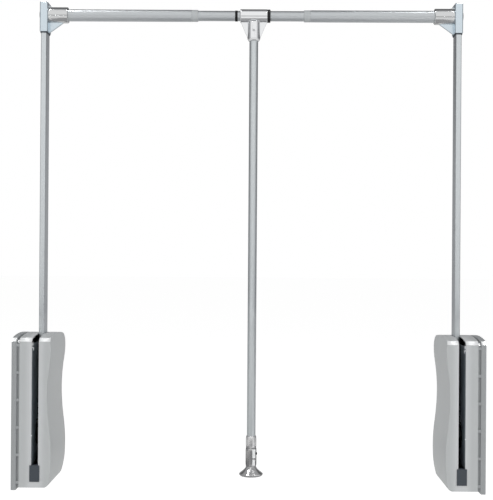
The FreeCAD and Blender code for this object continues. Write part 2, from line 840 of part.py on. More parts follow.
def crank_web():
    """The web between hub and crank pin, along the line that joins them."""
    half = "crank_end_radius"
    along = ("cos(crank_lag)", "-sin(crank_lag)")
    aside = ("sin(crank_lag)", "cos(crank_lag)")
    corners = []
    for travel, sign in (("0", "-"), ("crank_radius", "-"), ("crank_radius", "+"), ("0", "+")):
        corners.append(
            (
                "pivot_y + %s * %s %s %s * %s" % (travel, along[0], sign, half, aside[0]),
                "pivot_height + %s * (%s) %s %s * %s" % (travel, along[1], sign, half, aside[1]),
            )
        )
    return corners


def rivet_heights():
    first = "pivot_height + rivet_first"
    return [first, first + " + rivet_pitch"]


def crank_roller():
    centre = ("crank_pin_y", "crank_pin_z")
    end = "roller_x + roller_width"
    bore = "crank_pin_radius + running_gap"
    return turned_x("left_crank_roller", centre, ring("roller_x", end, bore, "roller_radius"))


def follower():
    """Yoke that the crank's roller lifts, with a platform for the spring and a guide shoe."""
    body = new_body("left_spring_follower")
    tip = "pivot_y + jaw_tip"
    low, high = "crank_pin_z - jaw_gap", "crank_pin_z + jaw_gap"
    sketch = new_sketch(body, SIDE, "yoke_x")
    outline(
        sketch,
        [
            (tip, low + " - jaw_thick"),
            ("guide_back_y", low + " - jaw_thick"),
            ("guide_back_y", high + " + jaw_thick"),
            (tip, high + " + jaw_thick"),
            (tip, high),
            ("yoke_back_y", high),
            ("yoke_back_y", low),
            (tip, low),
        ],
    )
    pad(body, sketch, "yoke_thick")
    shoe_start = "case_x + case_wall + guide_gap"
    sketch = new_sketch(body, SIDE, shoe_start)
    left = "guide_y + guide_rib + guide_gap"
    box_outline(sketch, left, left + " + guide_shoe", low + " - jaw_thick", high + " + jaw_thick")
    pad(body, sketch, "yoke_x - (%s)" % shoe_start)
    sketch = new_sketch(body, PLAN, "platform_z")
    circle(sketch, "strut_x", "strut_y", "platform_radius")
    pad(body, sketch, "platform_thick")
    sketch = new_sketch(body, PLAN, "strut_foot")
    circle(sketch, "strut_x", "strut_y", "damper_rod_radius + running_gap")
    cut(body, sketch, "platform_thick")
    return body


STRUT = ("strut_x", "strut_y")


def damper_rod():
    top = "cylinder_foot + damper_overlap"
    piston = "cylinder_radius - cylinder_wall - running_gap"
    profile = [
        ("0", "strut_foot"),
        ("damper_rod_radius", "strut_foot"),
        ("damper_rod_radius", top + " - piston_length"),
        (piston, top + " - piston_length"),
        (piston, top),
        ("0", top),
    ]
    return turned_z("left_damper_rod", STRUT, profile)


def damper_cylinder():
    """Closed tube with a gland below, a spring seat and an eye for the anchor bolt above."""
    bore = "cylinder_radius - cylinder_wall"
    gland = "damper_rod_radius + running_gap"
    profile = [
        (gland, "cylinder_foot"),
        ("cylinder_radius", "cylinder_foot"),
        ("cylinder_radius", "seat_height"),
        ("platform_radius", "seat_height"),
        ("platform_radius", "seat_height + seat_thick"),
        ("cylinder_radius", "seat_height + seat_thick"),
        ("cylinder_radius", "anchor_height - eye_radius"),
        ("0", "anchor_height - eye_radius"),
        ("0", "seat_height"),
        (bore, "seat_height"),
        (bore, "cylinder_foot + 4"),
        (gland, "cylinder_foot + 4"),
    ]
    body = turned_z("left_damper_cylinder", STRUT, profile)
    sketch = new_sketch(body, SIDE, "-eye_width / 2")
    low = "seat_height + seat_thick - 1"
    box_outline(sketch, "-cylinder_radius + 1", "cylinder_radius - 1", low, "anchor_height")
    pad(body, sketch, "eye_width")
    sketch = new_sketch(body, SIDE, "-eye_width / 2")
    circle(sketch, "0", "anchor_height", "eye_radius")
    pad(body, sketch, "eye_width")
    sketch = new_sketch(body, SIDE, "-platform_radius")
    circle(sketch, "0", "anchor_height", "anchor_radius + running_gap")
    cut(body, sketch, "platform_radius * 2")
    return body


def anchor_bolt():
    eye_end = "strut_x + eye_width / 2 + running_gap"
    profile = [
        ("case_x", "0"),
        (eye_end + " + anchor_head_thick", "0"),
        (eye_end + " + anchor_head_thick", "anchor_head_radius - 0.8"),
        (eye_end + " + anchor_head_thick - 0.8", "anchor_head_radius"),
        (eye_end, "anchor_head_radius"),
        (eye_end, "anchor_radius"),
        ("case_x", "anchor_radius"),
    ]
    return turned_x("left_anchor_bolt", ("strut_y", "anchor_height"), profile)


def lift_spring():
    """Square-wire coil spring round the damper, from the platform up to the cylinder's seat."""
    low = "spring_foot + wire_radius"
    helix = doc.addObject("Part::Helix", "left_spring_path")
    helix.setExpression("Radius", link("coil_radius"))
    helix.setExpression("Height", link("seat_height - wire_radius - (%s)" % low))
    helix.setExpression("Pitch", link("(seat_height - wire_radius - (%s)) / spring_turns" % low))
    wire = doc.addObject("Part::RegularPolygon", "left_spring_wire")
    wire.Polygon = 4
    wire.setExpression("Circumradius", link("wire_radius * sqrt(2)"))
    wire.setExpression("Placement.Base.x", link("coil_radius"))
    wire.Placement.Rotation = FreeCAD.Rotation(0, 45, 90)
    spring = doc.addObject("Part::Sweep", "left_lift_spring")
    spring.Sections = [wire]
    spring.Spine = (helix, ["Edge1"])
    spring.Solid = True
    spring.Frenet = True
    spring.Label = "left_lift_spring"
    spring.setExpression("Placement.Base.x", link("strut_x"))
    spring.setExpression("Placement.Base.y", link("strut_y"))
    spring.setExpression("Placement.Base.z", link(low))
    nodes.append(spring)
    return spring


# ---- arm, corner and rail ----


def arm():
    body = new_body("left_swing_arm")
    sketch = new_sketch(body, PLAN, "arm_foot")
    arm_section(sketch)
    arm_section(sketch, "arm_wall")
    pad(body, sketch, "cap_foot + cap_pocket - arm_foot")
    sketch = new_sketch(body, SIDE, "arm_x - arm_width / 2 - 1")
    for up in rivet_heights():
        circle(sketch, "pivot_y", up, "rivet_radius + running_gap")
    circle(sketch, "pivot_y", "bar_height", "end_screw_radius + running_gap")
    cut(body, sketch, "arm_width + 2")
    return body


def arm_rivets():
    body = new_body("left_arm_rivets", many=True)
    for start, length, radius in (
        ("arm_x - arm_width / 2 - rivet_head_thick", "rivet_head_thick", "rivet_head_radius"),
        ("arm_x - arm_width / 2", "arm_width", "rivet_radius"),
        ("arm_x + arm_width / 2", "rivet_head_thick", "rivet_head_radius"),
    ):
        sketch = new_sketch(body, SIDE, start)
        for up in rivet_heights():
            circle(sketch, "pivot_y", up, radius)
        pad(body, sketch, length)
    return body


def corner():
    """Die-cast corner: upright cap over the arm, sleeve for the rail and two webs."""
    body = new_body("left_corner_fitting")
    sketch = new_sketch(body, PLAN, "cap_foot")
    half = "cap_depth / 2"
    box_outline(sketch, "cap_outer_x", "cap_inner_x", "pivot_y - " + half, "pivot_y + " + half)
    pad(body, sketch, "cap_above + cap_below")
    rim = value("cap_top")
    round_edges(
        body,
        "cap_round",
        lambda edge: edge.BoundBox.ZLength > 10 or edge.BoundBox.ZMin > rim - 0.01,
    )
    sketch = new_sketch(body, SIDE, "arm_x")
    circle(sketch, "pivot_y", "bar_height", "sleeve_radius")
    pad(body, sketch, "sleeve_end_x - arm_x")
    end = value("sleeve_end_x")
    round_edges(body, "sleeve_round", within((end, None, None), (end, None, None)))
    sketch = new_sketch(body, FRONT_BACK, "-pivot_y - web_thick / 2")
    outline(
        sketch,
        [
            ("arm_x", "cap_foot + 1"),
            ("cap_inner_x + 2", "cap_foot + 1"),
            ("cap_inner_x + web_run", "bar_height - sleeve_radius + 2"),
            ("cap_inner_x + web_run", "bar_height"),
            ("cap_inner_x + upper_web_run", "bar_height + sleeve_radius - 1"),
            ("cap_inner_x", "cap_top - cap_round - 1"),
            ("arm_x", "cap_top - cap_round - 1"),
        ],
    )
    pad(body, sketch, "web_thick")
    # socket for the arm, bore for the rail's tube and hole for the end screw
    sketch = new_sketch(body, PLAN, "cap_foot")
    arm_section(sketch, "(-running_gap)")
    cut(body, sketch, "cap_pocket + running_gap")
    sketch = new_sketch(body, SIDE, "cap_inner_x")
    circle(sketch, "pivot_y", "bar_height", "outer_radius + running_gap")
    cut(body, sketch, "sleeve_length + 1")
    sketch = new_sketch(body, SIDE, "cap_outer_x - 1")
    circle(sketch, "pivot_y", "bar_height", "end_screw_radius + running_gap")
    cut(body, sketch, "cap_width + 2")
    return body


BAR = ("pivot_y", "bar_height")


def corner_screw():
    head = "cap_outer_x - end_screw_head_thick"
    tip = "cap_inner_x + end_screw_bite"
    profile = [
        (head, "0"),
        (tip, "0"),
        (tip, "end_screw_radius - 1"),
        (tip + " - 1", "end_screw_radius"),
        ("cap_outer_x", "end_screw_radius"),
        ("cap_outer_x", "end_screw_head_radius"),
        (head + " + 0.8", "end_screw_head_radius"),
        (head, "end_screw_head_radius - 0.8"),
    ]
    return turned_x("left_corner_screw", BAR, profile)


def arm_gasket():
    body = new_body("left_arm_gasket")
    sketch = new_sketch(body, PLAN, "cap_foot - gasket_thick")
    arm_section(sketch, "(-gasket_wall)")
    arm_section(sketch, "(-running_gap)")
    pad(body, sketch, "gasket_thick")
    return body


def tube_plug():
    """Nut insert in the tube's outer end, which the corner screw pulls on."""
    end = "cap_inner_x + end_screw_bite + 2"
    bore = "end_screw_radius + running_gap"
    return turned_x("left_tube_plug", BAR, ring("cap_inner_x", end, bore, "spigot_radius"))


def outer_tube():
    end = "-outer_end - collar_length"
    return turned_x("left_outer_tube", BAR, ring("cap_inner_x", end, "outer_bore", "outer_radius"))


def tube_collar():
    """Nylon collar on the outer tube's end; the inner tube slides in it."""
    start = "-outer_end - collar_length"
    profile = [
        (start + " - spigot_length", "collar_bore"),
        ("-outer_end", "collar_bore"),
        ("-outer_end", "outer_radius - 0.8"),
        ("-outer_end - 0.8", "outer_radius"),
        (start, "outer_radius"),
        (start, "spigot_radius"),
        (start + " - spigot_length", "spigot_radius"),
    ]
    return turned_x("left_tube_collar", BAR, profile)


def inner_tube():
    half = "inner_length / 2"
    profile = ring("-" + half, half, "inner_radius - inner_wall", "inner_radius")
    return turned_x("inner_tube", BAR, profile)


# ---- tee, pull rod and handle ----


def stop_rings():
    bore = "collar_bore"
    start = "tee_left_x - side_play - ring_width"
    left = ring(start, start + " + ring_width", bore, "inner_radius + ring_wall")
    turned_x("tee_stop_ring", BAR, left)
    right = ring("tee_right_x", "tee_right_x + end_collar_width", bore, "tee_radius - 0.3")
    turned_x("tee_end_collar", BAR, right)


def tee_liner():
    profile = ring("tee_left_x", "tee_right_x", "collar_bore", "liner_radius")
    return turned_x("tee_liner", BAR, profile)


def tee():
    """Chrome tee: sleeve on the rail, stem for the pull rod, a thin gusset on each side."""
    body = new_body("pull_rod_tee", ("tee_offset", "pivot_y", "bar_height"))
    sketch = new_sketch(body, SIDE, "-tee_length / 2")
    circle(sketch, "0", "0", "tee_radius")
    pad(body, sketch, "tee_length")
    sketch = new_sketch(body, FRONT_BACK)
    outline(
        sketch,
        [
            ("0", "-stem_drop"),
            ("stem_tip_radius", "-stem_drop"),
            ("stem_radius", "-stem_drop + stem_taper"),
            ("stem_radius", "0"),
            ("0", "0"),
        ],
    )
    turn(body, sketch, "V_Axis")
    sketch = new_sketch(body, FRONT_BACK, "-gusset_thick / 2")
    outline(
        sketch,
        [
            ("-stem_radius + 1", "-gusset_drop"),
            ("stem_radius - 1", "-gusset_drop"),
            ("stem_radius + gusset_run", "-tee_radius + 1"),
            ("-stem_radius - gusset_run", "-tee_radius + 1"),
        ],
    )
    pad(body, sketch, "gusset_thick")
    sketch = new_sketch(body, SIDE, "-tee_length / 2 - 1")
    circle(sketch, "0", "0", "tee_bore")
    cut(body, sketch, "tee_length + 2")
    sketch = new_sketch(body, PLAN, "-stem_drop")
    circle(sketch, "0", "0", "rod_radius + running_gap")
    cut(body, sketch, "stem_pocket")
    sketch = new_sketch(body, FRONT_BACK)
    circle(sketch, "0", "-tee_screw_drop", "tee_screw_radius + running_gap")
    cut(body, sketch, "stem_radius + 1")
    return body


def tee_screw():
    """Grub screw in the stem's front that holds the pull rod."""
    body = new_body("tee_grub_screw", ("tee_offset", "pivot_y", "bar_height"))
    sketch = new_sketch(body, FRONT_BACK, "rod_radius + running_gap")
    circle(sketch, "0", "-tee_screw_drop", "tee_screw_radius")
    pad(body, sketch, "stem_radius - rod_radius - 0.9")
    return body


ROD = ("tee_offset", "pivot_y")


def pull_rod():
    bore = "rod_radius - rod_wall"
    top = "bar_height - stem_drop + stem_pocket - seat_gap"
    profile = [(bore, "rod_foot"), ("rod_radius", "rod_foot"), ("rod_radius", top), (bore, top)]
    body = turned_z("pull_rod", ROD, profile)
    sketch = new_sketch(body, SIDE, "-rod_radius - 1")
    circle(sketch, "0", "grip_pin_height", "grip_pin_radius + running_gap")
    cut(body, sketch, "2 * rod_radius + 2")
    return body


def ferrule():
    bore = "rod_radius + running_gap"
    profile = [
        (bore, "ferrule_foot"),
        ("ferrule_end_radius", "ferrule_foot"),
        ("ferrule_radius", "ferrule_foot + 3"),
        ("ferrule_radius", "ferrule_top - 3"),
        ("ferrule_end_radius", "ferrule_top"),
        (bore, "ferrule_top"),
    ]
    return turned_z("handle_ferrule", ROD, profile)


def grip():
    """Waisted grip with a trumpet foot, bored for the rod and its cross pin."""
    bore = "rod_radius + running_gap"
    body = turned_z(
        "handle_grip",
        ROD,
        [
            ("0", "grip_foot"),
            ("cone_radius - 5", "grip_foot"),
            ("cone_radius", "rim_height - 1.5"),
            ("cone_radius", "rim_height"),
            ("grip_waist_radius", "cone_top"),
            ("grip_radius", "cone_top + 5"),
            ("grip_radius", "ferrule_foot - 2"),
            ("grip_waist_radius", "ferrule_foot"),
            (bore, "ferrule_foot"),
            (bore, "rod_foot - seat_gap"),
            ("0", "rod_foot - seat_gap"),
        ],
    )
    sketch = new_sketch(body, SIDE, "-grip_radius - 1")
    circle(sketch, "0", "grip_pin_height", "grip_pin_radius + running_gap")
    cut(body, sketch, "2 * grip_radius + 2")
    return body


def grip_pin():
    """Cross pin through grip and rod."""
    half = "grip_radius + grip_pin_proud"
    body = new_body("handle_pin", ("tee_offset", "pivot_y", "grip_pin_height"))
    sketch = new_sketch(body, SIDE, "-" + half)
    circle(sketch, "0", "0", "grip_pin_radius")
    pad(body, sketch, "2 * (%s)" % half)
    return body


def mirror_to_right(source):
    """The right unit's twin of a left sub-part."""
    name = source.Label.replace("left", "right")
    twin = doc.addObject("Part::Mirroring", name)
    twin.Source = source
    twin.Base = Vector(0, 0, 0)
    twin.Normal = Vector(1, 0, 0)
    twin.Label = name
    return twin


for build in (
    wall_plate,
    case_back,
    case_cover,
    case_screws,
    bumper,
    rest_pad,
    axle,
    axle_nut,
    pivot_bushes,
    lever,
    crank_roller,
    follower,
    damper_rod,
    damper_cylinder,
    anchor_bolt,
    lift_spring,
    arm,
    arm_rivets,
    corner,
    corner_screw,
    arm_gasket,
    tube_plug,
    outer_tube,
    tube_collar,
):
    build()
doc.recompute()
nodes.extend([mirror_to_right(piece) for piece in nodes])
for build in (inner_tube, stop_rings, tee_liner, tee, tee_screw, pull_rod, ferrule, grip, grip_pin):
    build()
doc.recompute()

for item in doc.Objects:
    if "Invalid" in item.State or "Error" in item.State:
        raise ValueError("%s failed: %s" % (item.Label, item.State))
for piece in nodes:
    if piece.Shape.isNull() or not piece.Shape.isValid() or not piece.Shape.Solids:
        raise ValueError("%s has no valid solid" % piece.Label)

os.makedirs("parts", exist_ok=True)
for piece in nodes:
    piece.Shape.exportStep("parts/%s.step" % piece.Label)
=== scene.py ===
import json
import math

import bmesh
import bpy
from mathutils import Matrix, Vector


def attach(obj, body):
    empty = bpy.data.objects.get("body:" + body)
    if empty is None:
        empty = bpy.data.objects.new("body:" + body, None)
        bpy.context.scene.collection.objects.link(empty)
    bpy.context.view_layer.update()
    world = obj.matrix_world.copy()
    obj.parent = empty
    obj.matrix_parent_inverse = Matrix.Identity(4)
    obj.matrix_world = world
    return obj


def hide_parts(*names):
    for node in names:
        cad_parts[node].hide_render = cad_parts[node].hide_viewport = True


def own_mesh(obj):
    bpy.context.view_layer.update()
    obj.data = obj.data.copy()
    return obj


# Pull-down wardrobe rail. Metres; X runs along the rail, -Y is the front, Z is up.
# Left pieces are modelled, and the right ones are their mirror images across X = 0.

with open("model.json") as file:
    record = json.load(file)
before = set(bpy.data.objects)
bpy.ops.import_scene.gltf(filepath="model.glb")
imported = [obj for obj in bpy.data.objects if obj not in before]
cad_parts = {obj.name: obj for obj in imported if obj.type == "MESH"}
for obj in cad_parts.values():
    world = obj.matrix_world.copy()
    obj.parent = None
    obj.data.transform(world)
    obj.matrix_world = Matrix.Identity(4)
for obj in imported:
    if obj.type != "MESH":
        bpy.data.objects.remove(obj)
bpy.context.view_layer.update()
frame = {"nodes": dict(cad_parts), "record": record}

MM = 0.001
# Points closer than this many millimetres are merged.
MERGE = 0.01
# Edges with more than this angle between their faces are sharp.
SHARP = math.radians(50)


# ---- working with the modelling tools ----


def begin(add, name, **place):
    """Adds a primitive at its place, with nothing else selected, and opens it for editing."""
    bpy.ops.object.select_all(action="DESELECT")
    add(**place)
    piece = bpy.context.active_object
    piece.name = piece.data.name = name
    bpy.ops.object.transform_apply(location=True, rotation=True, scale=True)
    bpy.ops.object.mode_set(mode="EDIT")
    bpy.ops.mesh.select_mode(type="VERT")
    pick_all()
    return piece


def end(piece):
    """Leaves edit mode, with doubles merged and the faces turned outwards."""
    pick_all()
    bpy.ops.mesh.remove_doubles(threshold=MERGE * MM)
    bpy.ops.mesh.normals_make_consistent(inside=False)
    bpy.ops.object.mode_set(mode="OBJECT")
    return piece


def reopen(piece):
    """Opens a finished piece for editing again."""
    alone(piece)
    bpy.ops.object.mode_set(mode="EDIT")


def pick_all():
    bpy.ops.mesh.select_all(action="SELECT")


def pick(piece, kind, test):
    """Selects the points, edges or faces that pass the test, and nothing else."""
    bpy.ops.mesh.select_mode(type=kind)
    bpy.ops.mesh.select_all(action="DESELECT")
    mesh = bmesh.from_edit_mesh(piece.data)
    for item in {"VERT": mesh.verts, "EDGE": mesh.edges, "FACE": mesh.faces}[kind]:
        if test(item):
            item.select_set(True)
    mesh.select_flush_mode()
    bmesh.update_edit_mesh(piece.data)


def push(*step):
    """Extrudes what is selected by a step in metres."""
    bpy.ops.mesh.extrude_region_move(TRANSFORM_OT_translate={"value": step})


def alone(piece, *others):
    """Makes one object active, and selects it, with any others, and nothing else."""
    bpy.ops.object.select_all(action="DESELECT")
    for one in (piece, *others):
        one.select_set(True)
    bpy.context.view_layer.objects.active = piece


def apply(piece, kind, **settings):
    """Adds a modifier with its settings and applies it."""
    alone(piece)
    modifier = piece.modifiers.new(kind.title(), kind)
    for name, value in settings.items():
        setattr(modifier, name, value)
    bpy.ops.object.modifier_apply(modifier=modifier.name)


def soften(piece, width, segments, angle):
    """Rounds by some millimetres the edges that are sharper than an angle in degrees."""
    apply(
        piece,
        "BEVEL",
        width=width * MM,
        segments=segments,
        limit_method="ANGLE",
        angle_limit=math.radians(angle),
        harden_normals=True,
        use_clamp_overlap=True,
    )


def copied(piece, name):
    """A copy of a piece with its own mesh, selected and active."""
    alone(piece)
    bpy.ops.object.duplicate()
    twin = bpy.context.active_object
    twin.name = twin.data.name = name
    return twin


def mirrored(piece):
    """The right side's twin of a left piece."""
    twin = copied(piece, piece.name.replace("left", "right"))
    bpy.ops.object.mode_set(mode="EDIT")
    pick_all()
    bpy.ops.transform.resize(value=(-1, 1, 1), center_override=(0, 0, 0))
    bpy.ops.mesh.flip_normals()
    bpy.ops.object.mode_set(mode="OBJECT")
    return twin


def joined(*pieces):
    """One piece from several, named as the first."""
    alone(*pieces)
    bpy.ops.object.join()
    return pieces[0]


def paint(piece, material, slot):
    """Gives a piece its one finish. slot is not used."""
    piece.data.materials.clear()
    piece.data.materials.append(material)


# ---- finishes ----


def fill(node, values):
    """Sets some of a node's inputs."""
    for label, value in values.items():
        node.inputs[label].default_value = value


def wire(source, output, target, label):
    """Links one node's output to another node's input."""
    source.id_data.links.new(source.outputs[output], target.inputs[label])


def new_group(name, inputs, outputs):
    """An empty shader group with its sockets, and its input and output nodes."""
    group = bpy.data.node_groups.new(name, "ShaderNodeTree")
    for label, kind, default in inputs:
        socket = group.interface.new_socket(label, in_out="INPUT", socket_type=kind)
        socket.default_value = default
    for label, kind in outputs:
        group.interface.new_socket(label, in_out="OUTPUT", socket_type=kind)
    nodes = group.nodes
    return group, nodes.new("NodeGroupInput"), nodes.new("NodeGroupOutput")


def grain_group():
    """Fine grain over broad, soft unevenness. Stretch sets how far it runs along each axis."""
    group, given, result = new_group(
        "surface_grain",
        [
            ("Stretch", "NodeSocketVector", (1, 1, 1)),
            ("Fine Scale", "NodeSocketFloat", 1500),
            ("Broad Scale", "NodeSocketFloat", 20),
            ("Fine Share", "NodeSocketFloat", 0.5),
        ],
        [("Height", "NodeSocketFloat"), ("Shade", "NodeSocketFloat")],
    )
    nodes = group.nodes
    place = nodes.new("ShaderNodeTexCoord")
    stretched = nodes.new("ShaderNodeVectorMath")
    stretched.operation = "MULTIPLY"
    fine = nodes.new("ShaderNodeTexNoise")
    broad = nodes.new("ShaderNodeTexNoise")
    fill(fine, {"Detail": 3})
    fill(broad, {"Detail": 2})
    mix = nodes.new("ShaderNodeMix")
    wire(place, "Object", stretched, 0)
    wire(given, "Stretch", stretched, 1)
    wire(stretched, 0, fine, "Vector")
    wire(place, "Object", broad, "Vector")
    wire(given, "Fine Scale", fine, "Scale")
    wire(given, "Broad Scale", broad, "Scale")
    wire(given, "Fine Share", mix, "Factor")
    wire(broad, "Fac", mix, "A")
    wire(fine, "Fac", mix, "B")
    wire(fine, "Fac", result, "Height")
    wire(mix, "Result", result, "Shade")
    return group


def lip_highlight_group():
    """Painted highlight's mask: 1 along both lips of the arm's slot, and nothing further out on the
    front.

    Slot is the slot's distance from X = 0; the mask fades between Near and Far from it."""
    group, given, result = new_group(
        "painted_lip_highlight",
        [
            ("Slot", "NodeSocketFloat", 0.3653),
            ("Near", "NodeSocketFloat", 0.006),
            ("Far", "NodeSocketFloat", 0.019),
        ],
        [("Mask", "NodeSocketFloat")],
    )
    nodes = group.nodes
    place = nodes.new("ShaderNodeTexCoord")
    axes = nodes.new("ShaderNodeSeparateXYZ")
    wire(place, "Object", axes, 0)
    across = axes.outputs["X"]
    for kind in ("ABSOLUTE", "SUBTRACT", "ABSOLUTE"):
        step = nodes.new("ShaderNodeMath")
        step.operation = kind
        group.links.new(across, step.inputs[0])
        if kind == "SUBTRACT":
            wire(given, "Slot", step, 1)
        across = step.outputs[0]
    fade = nodes.new("ShaderNodeMapRange")
    fade.interpolation_type = "SMOOTHSTEP"
    fill(fade, {"To Min": 1, "To Max": 0})
    group.links.new(across, fade.inputs["Value"])
    wire(given, "Near", fade, "From Min")
    wire(given, "Far", fade, "From Max")
    wire(fade, "Result", result, "Mask")
    return group


GRAIN = grain_group()
PAINTED_LIP_HIGHLIGHT = lip_highlight_group()
# The noise hardly ever leaves these bounds, so the roughness is spread between them.
GRAIN_LOW, GRAIN_HIGH = 0.25, 0.75
RELIEF_DEPTH = 0.02


def finish(name, dark, light, rough, metallic=0.0, bump=0.1, **extra):
    """A material whose colour and gloss vary a little with the grain.

    dark and light are the colour's two ends, rough the roughness at each of them. extra may
    set the grain's inputs, a paler colour painted along the slot's lips as a highlight, and
    how much gloss shines."""
    material = bpy.data.materials.new(name)
    material.use_nodes = True
    nodes = material.node_tree.nodes
    shader = nodes["Principled BSDF"]
    grain = nodes.new("ShaderNodeGroup")
    grain.node_tree = GRAIN
    for label in ("Stretch", "Fine Scale", "Broad Scale", "Fine Share"):
        key = label.lower().replace(" ", "_")
        if key in extra:
            grain.inputs[label].default_value = extra[key]
    colours = nodes.new("ShaderNodeMix")
    colours.data_type = "RGBA"
    fill(colours, {"A": (*dark, 1), "B": (*light, 1)})
    gloss = nodes.new("ShaderNodeMapRange")
    fill(gloss, {"From Min": GRAIN_LOW, "From Max": GRAIN_HIGH})
    fill(gloss, {"To Min": rough[0], "To Max": rough[1]})
    relief = nodes.new("ShaderNodeBump")
    fill(relief, {"Strength": bump, "Distance": RELIEF_DEPTH * MM})
    wire(grain, "Shade", colours, "Factor")
    wire(grain, "Shade", gloss, "Value")
    wire(grain, "Height", relief, "Height")
    # a paler colour mixed in along the slot's lips: painted highlight
    if "lips" in extra:
        lip_highlight_mask = nodes.new("ShaderNodeGroup")
        lip_highlight_mask.node_tree = PAINTED_LIP_HIGHLIGHT
        lip_highlight_mix = nodes.new("ShaderNodeMix")
        lip_highlight_mix.data_type = "RGBA"
        fill(lip_highlight_mix, {"B": (*extra["lips"], 1)})
        wire(lip_highlight_mask, "Mask", lip_highlight_mix, "Factor")
        wire(colours, "Result", lip_highlight_mix, "A")
        colours = lip_highlight_mix
    wire(colours, "Result", shader, "Base Color")
    wire(gloss, "Result", shader, "Roughness")
    wire(relief, "Normal", shader, "Normal")
    fill(shader, {"Metallic": metallic, "Specular IOR Level": extra.get("shine", 0.5)})
    return material


def moulded(name, dark, light, rough, **extra):
    """Injection-moulded plastic or rubber."""
    grain = {"fine_scale": 2600, "broad_scale": 24, "fine_share": 0.45}
    return finish(name, dark, light, rough, **grain, **extra)


def drawn(name, dark, light, rough, stretch, **extra):
    """Metal with the fine lines of its drawing or turning along one axis."""
    grain = {"stretch": stretch, "fine_scale": 900, "fine_share": 0.7}
    return finish(name, dark, light, rough, metallic=1, **grain, **extra)


ALONG_X = (0.02, 1, 1)
ALONG_Z = (1, 1, 0.02)
EVEN = (1, 1, 1)

FINISHES = {
    "grey_case": moulded(
        "grey_case",
        (0.42, 0.437, 0.44),
        (0.46, 0.475, 0.48),
        (0.36, 0.46),
        # painted highlight: paler along the slot's lips
        lips=(0.53, 0.542, 0.552),
    ),
    # paler than the case: a painted highlight on the brow facet and the front's lower rounding,
    # besides its real low roughness
    "brow": moulded(
        "brow_painted_highlight", (0.72, 0.735, 0.74), (0.78, 0.795, 0.80), (0.1, 0.16), bump=0.03
    ),
    "grey_plate": moulded("grey_plate", (0.285, 0.298, 0.305), (0.315, 0.33, 0.338), (0.38, 0.48)),
    "rubber": moulded(
        "rubber", (0.036, 0.044, 0.054), (0.047, 0.056, 0.068), (0.55, 0.7), bump=0.25
    ),
    "black_rubber": moulded(
        "black_rubber", (0.006, 0.006, 0.007), (0.012, 0.012, 0.013), (0.5, 0.65), shine=0.2
    ),
    "black_nylon": moulded(
        "black_nylon", (0.006, 0.006, 0.007), (0.012, 0.012, 0.014), (0.3, 0.45), shine=0.25
    ),
    # dark cheeks that stand for the shade inside the slot: painted shade
    "slot_shade_lining": moulded("slot_shade_lining", (0.25, 0.285, 0.31), (0.3, 0.345, 0.38), (0.5, 0.65)),
    # near-white, for the rivets and the nub in the slot: painted glints
    "bright_zinc": moulded("bright_zinc", (0.88, 0.89, 0.9), (0.95, 0.96, 0.97), (0.3, 0.42)),
    "painted_arm": drawn(
        "satin_arm", (0.61, 0.645, 0.66), (0.68, 0.715, 0.735), (0.28, 0.38), ALONG_Z
    ),
    "cast_corner": drawn(
        "satin_corner", (0.60, 0.68, 0.735), (0.66, 0.74, 0.795), (0.2, 0.3), EVEN
    ),
    "polished_cast": drawn(
        "polished_casting", (0.60, 0.61, 0.615), (0.68, 0.69, 0.69), (0.12, 0.2), ALONG_X
    ),
    "tube": drawn("satin_tube", (0.55, 0.575, 0.59), (0.63, 0.655, 0.67), (0.42, 0.52), ALONG_X),
    "rod": drawn("satin_rod", (0.615, 0.65, 0.66), (0.69, 0.725, 0.74), (0.34, 0.44), ALONG_Z),
    "tube_collar_grey": moulded(
        "collar_grey", (0.40, 0.42, 0.43), (0.46, 0.48, 0.49), (0.28, 0.38)
    ),
    "chrome": drawn(
        "chrome", (0.78, 0.79, 0.80), (0.84, 0.85, 0.86), (0.07, 0.13), EVEN, bump=0.01
    ),
    "handle": drawn("nickel", (0.66, 0.66, 0.66), (0.74, 0.74, 0.74), (0.13, 0.2), EVEN, bump=0.01),
    "ferrule": drawn(
        "soft_nickel", (0.72, 0.72, 0.72), (0.80, 0.80, 0.80), (0.22, 0.3), EVEN, bump=0.01
    ),
    # darker copy of the bell's nickel for the grip above the waist: painted shade, and a little
    # rougher
    "grip": drawn(
        "dull_nickel", (0.43, 0.43, 0.43), (0.49, 0.49, 0.49), (0.16, 0.24), EVEN, bump=0.01
    ),
    # pale fill of the grip's windows: painted highlight
    "window_painted_highlight": moulded("window_painted_highlight", (0.80, 0.815, 0.82), (0.88, 0.89, 0.895), (0.3, 0.4)),
    "steel": drawn("zinc_steel", (0.48, 0.49, 0.50), (0.60, 0.61, 0.62), (0.25, 0.4), EVEN),
    "dark_steel": drawn(
        "black_steel", (0.02, 0.02, 0.022), (0.045, 0.045, 0.05), (0.35, 0.5), EVEN
    ),
}

SLOT_OF = {row["node"]: row["material_slot"] for row in frame["record"]["subparts"]}
OWN_FINISH = {"pull_rod": "rod", "tee_grub_screw": "steel"}
for node, carried in frame["nodes"].items():
    carried.material_slots[0].material = FINISHES[OWN_FINISH.get(node, SLOT_OF[node])]


# ---- sizes in millimetres, as the frame has them; a reach is measured from the wall face ----

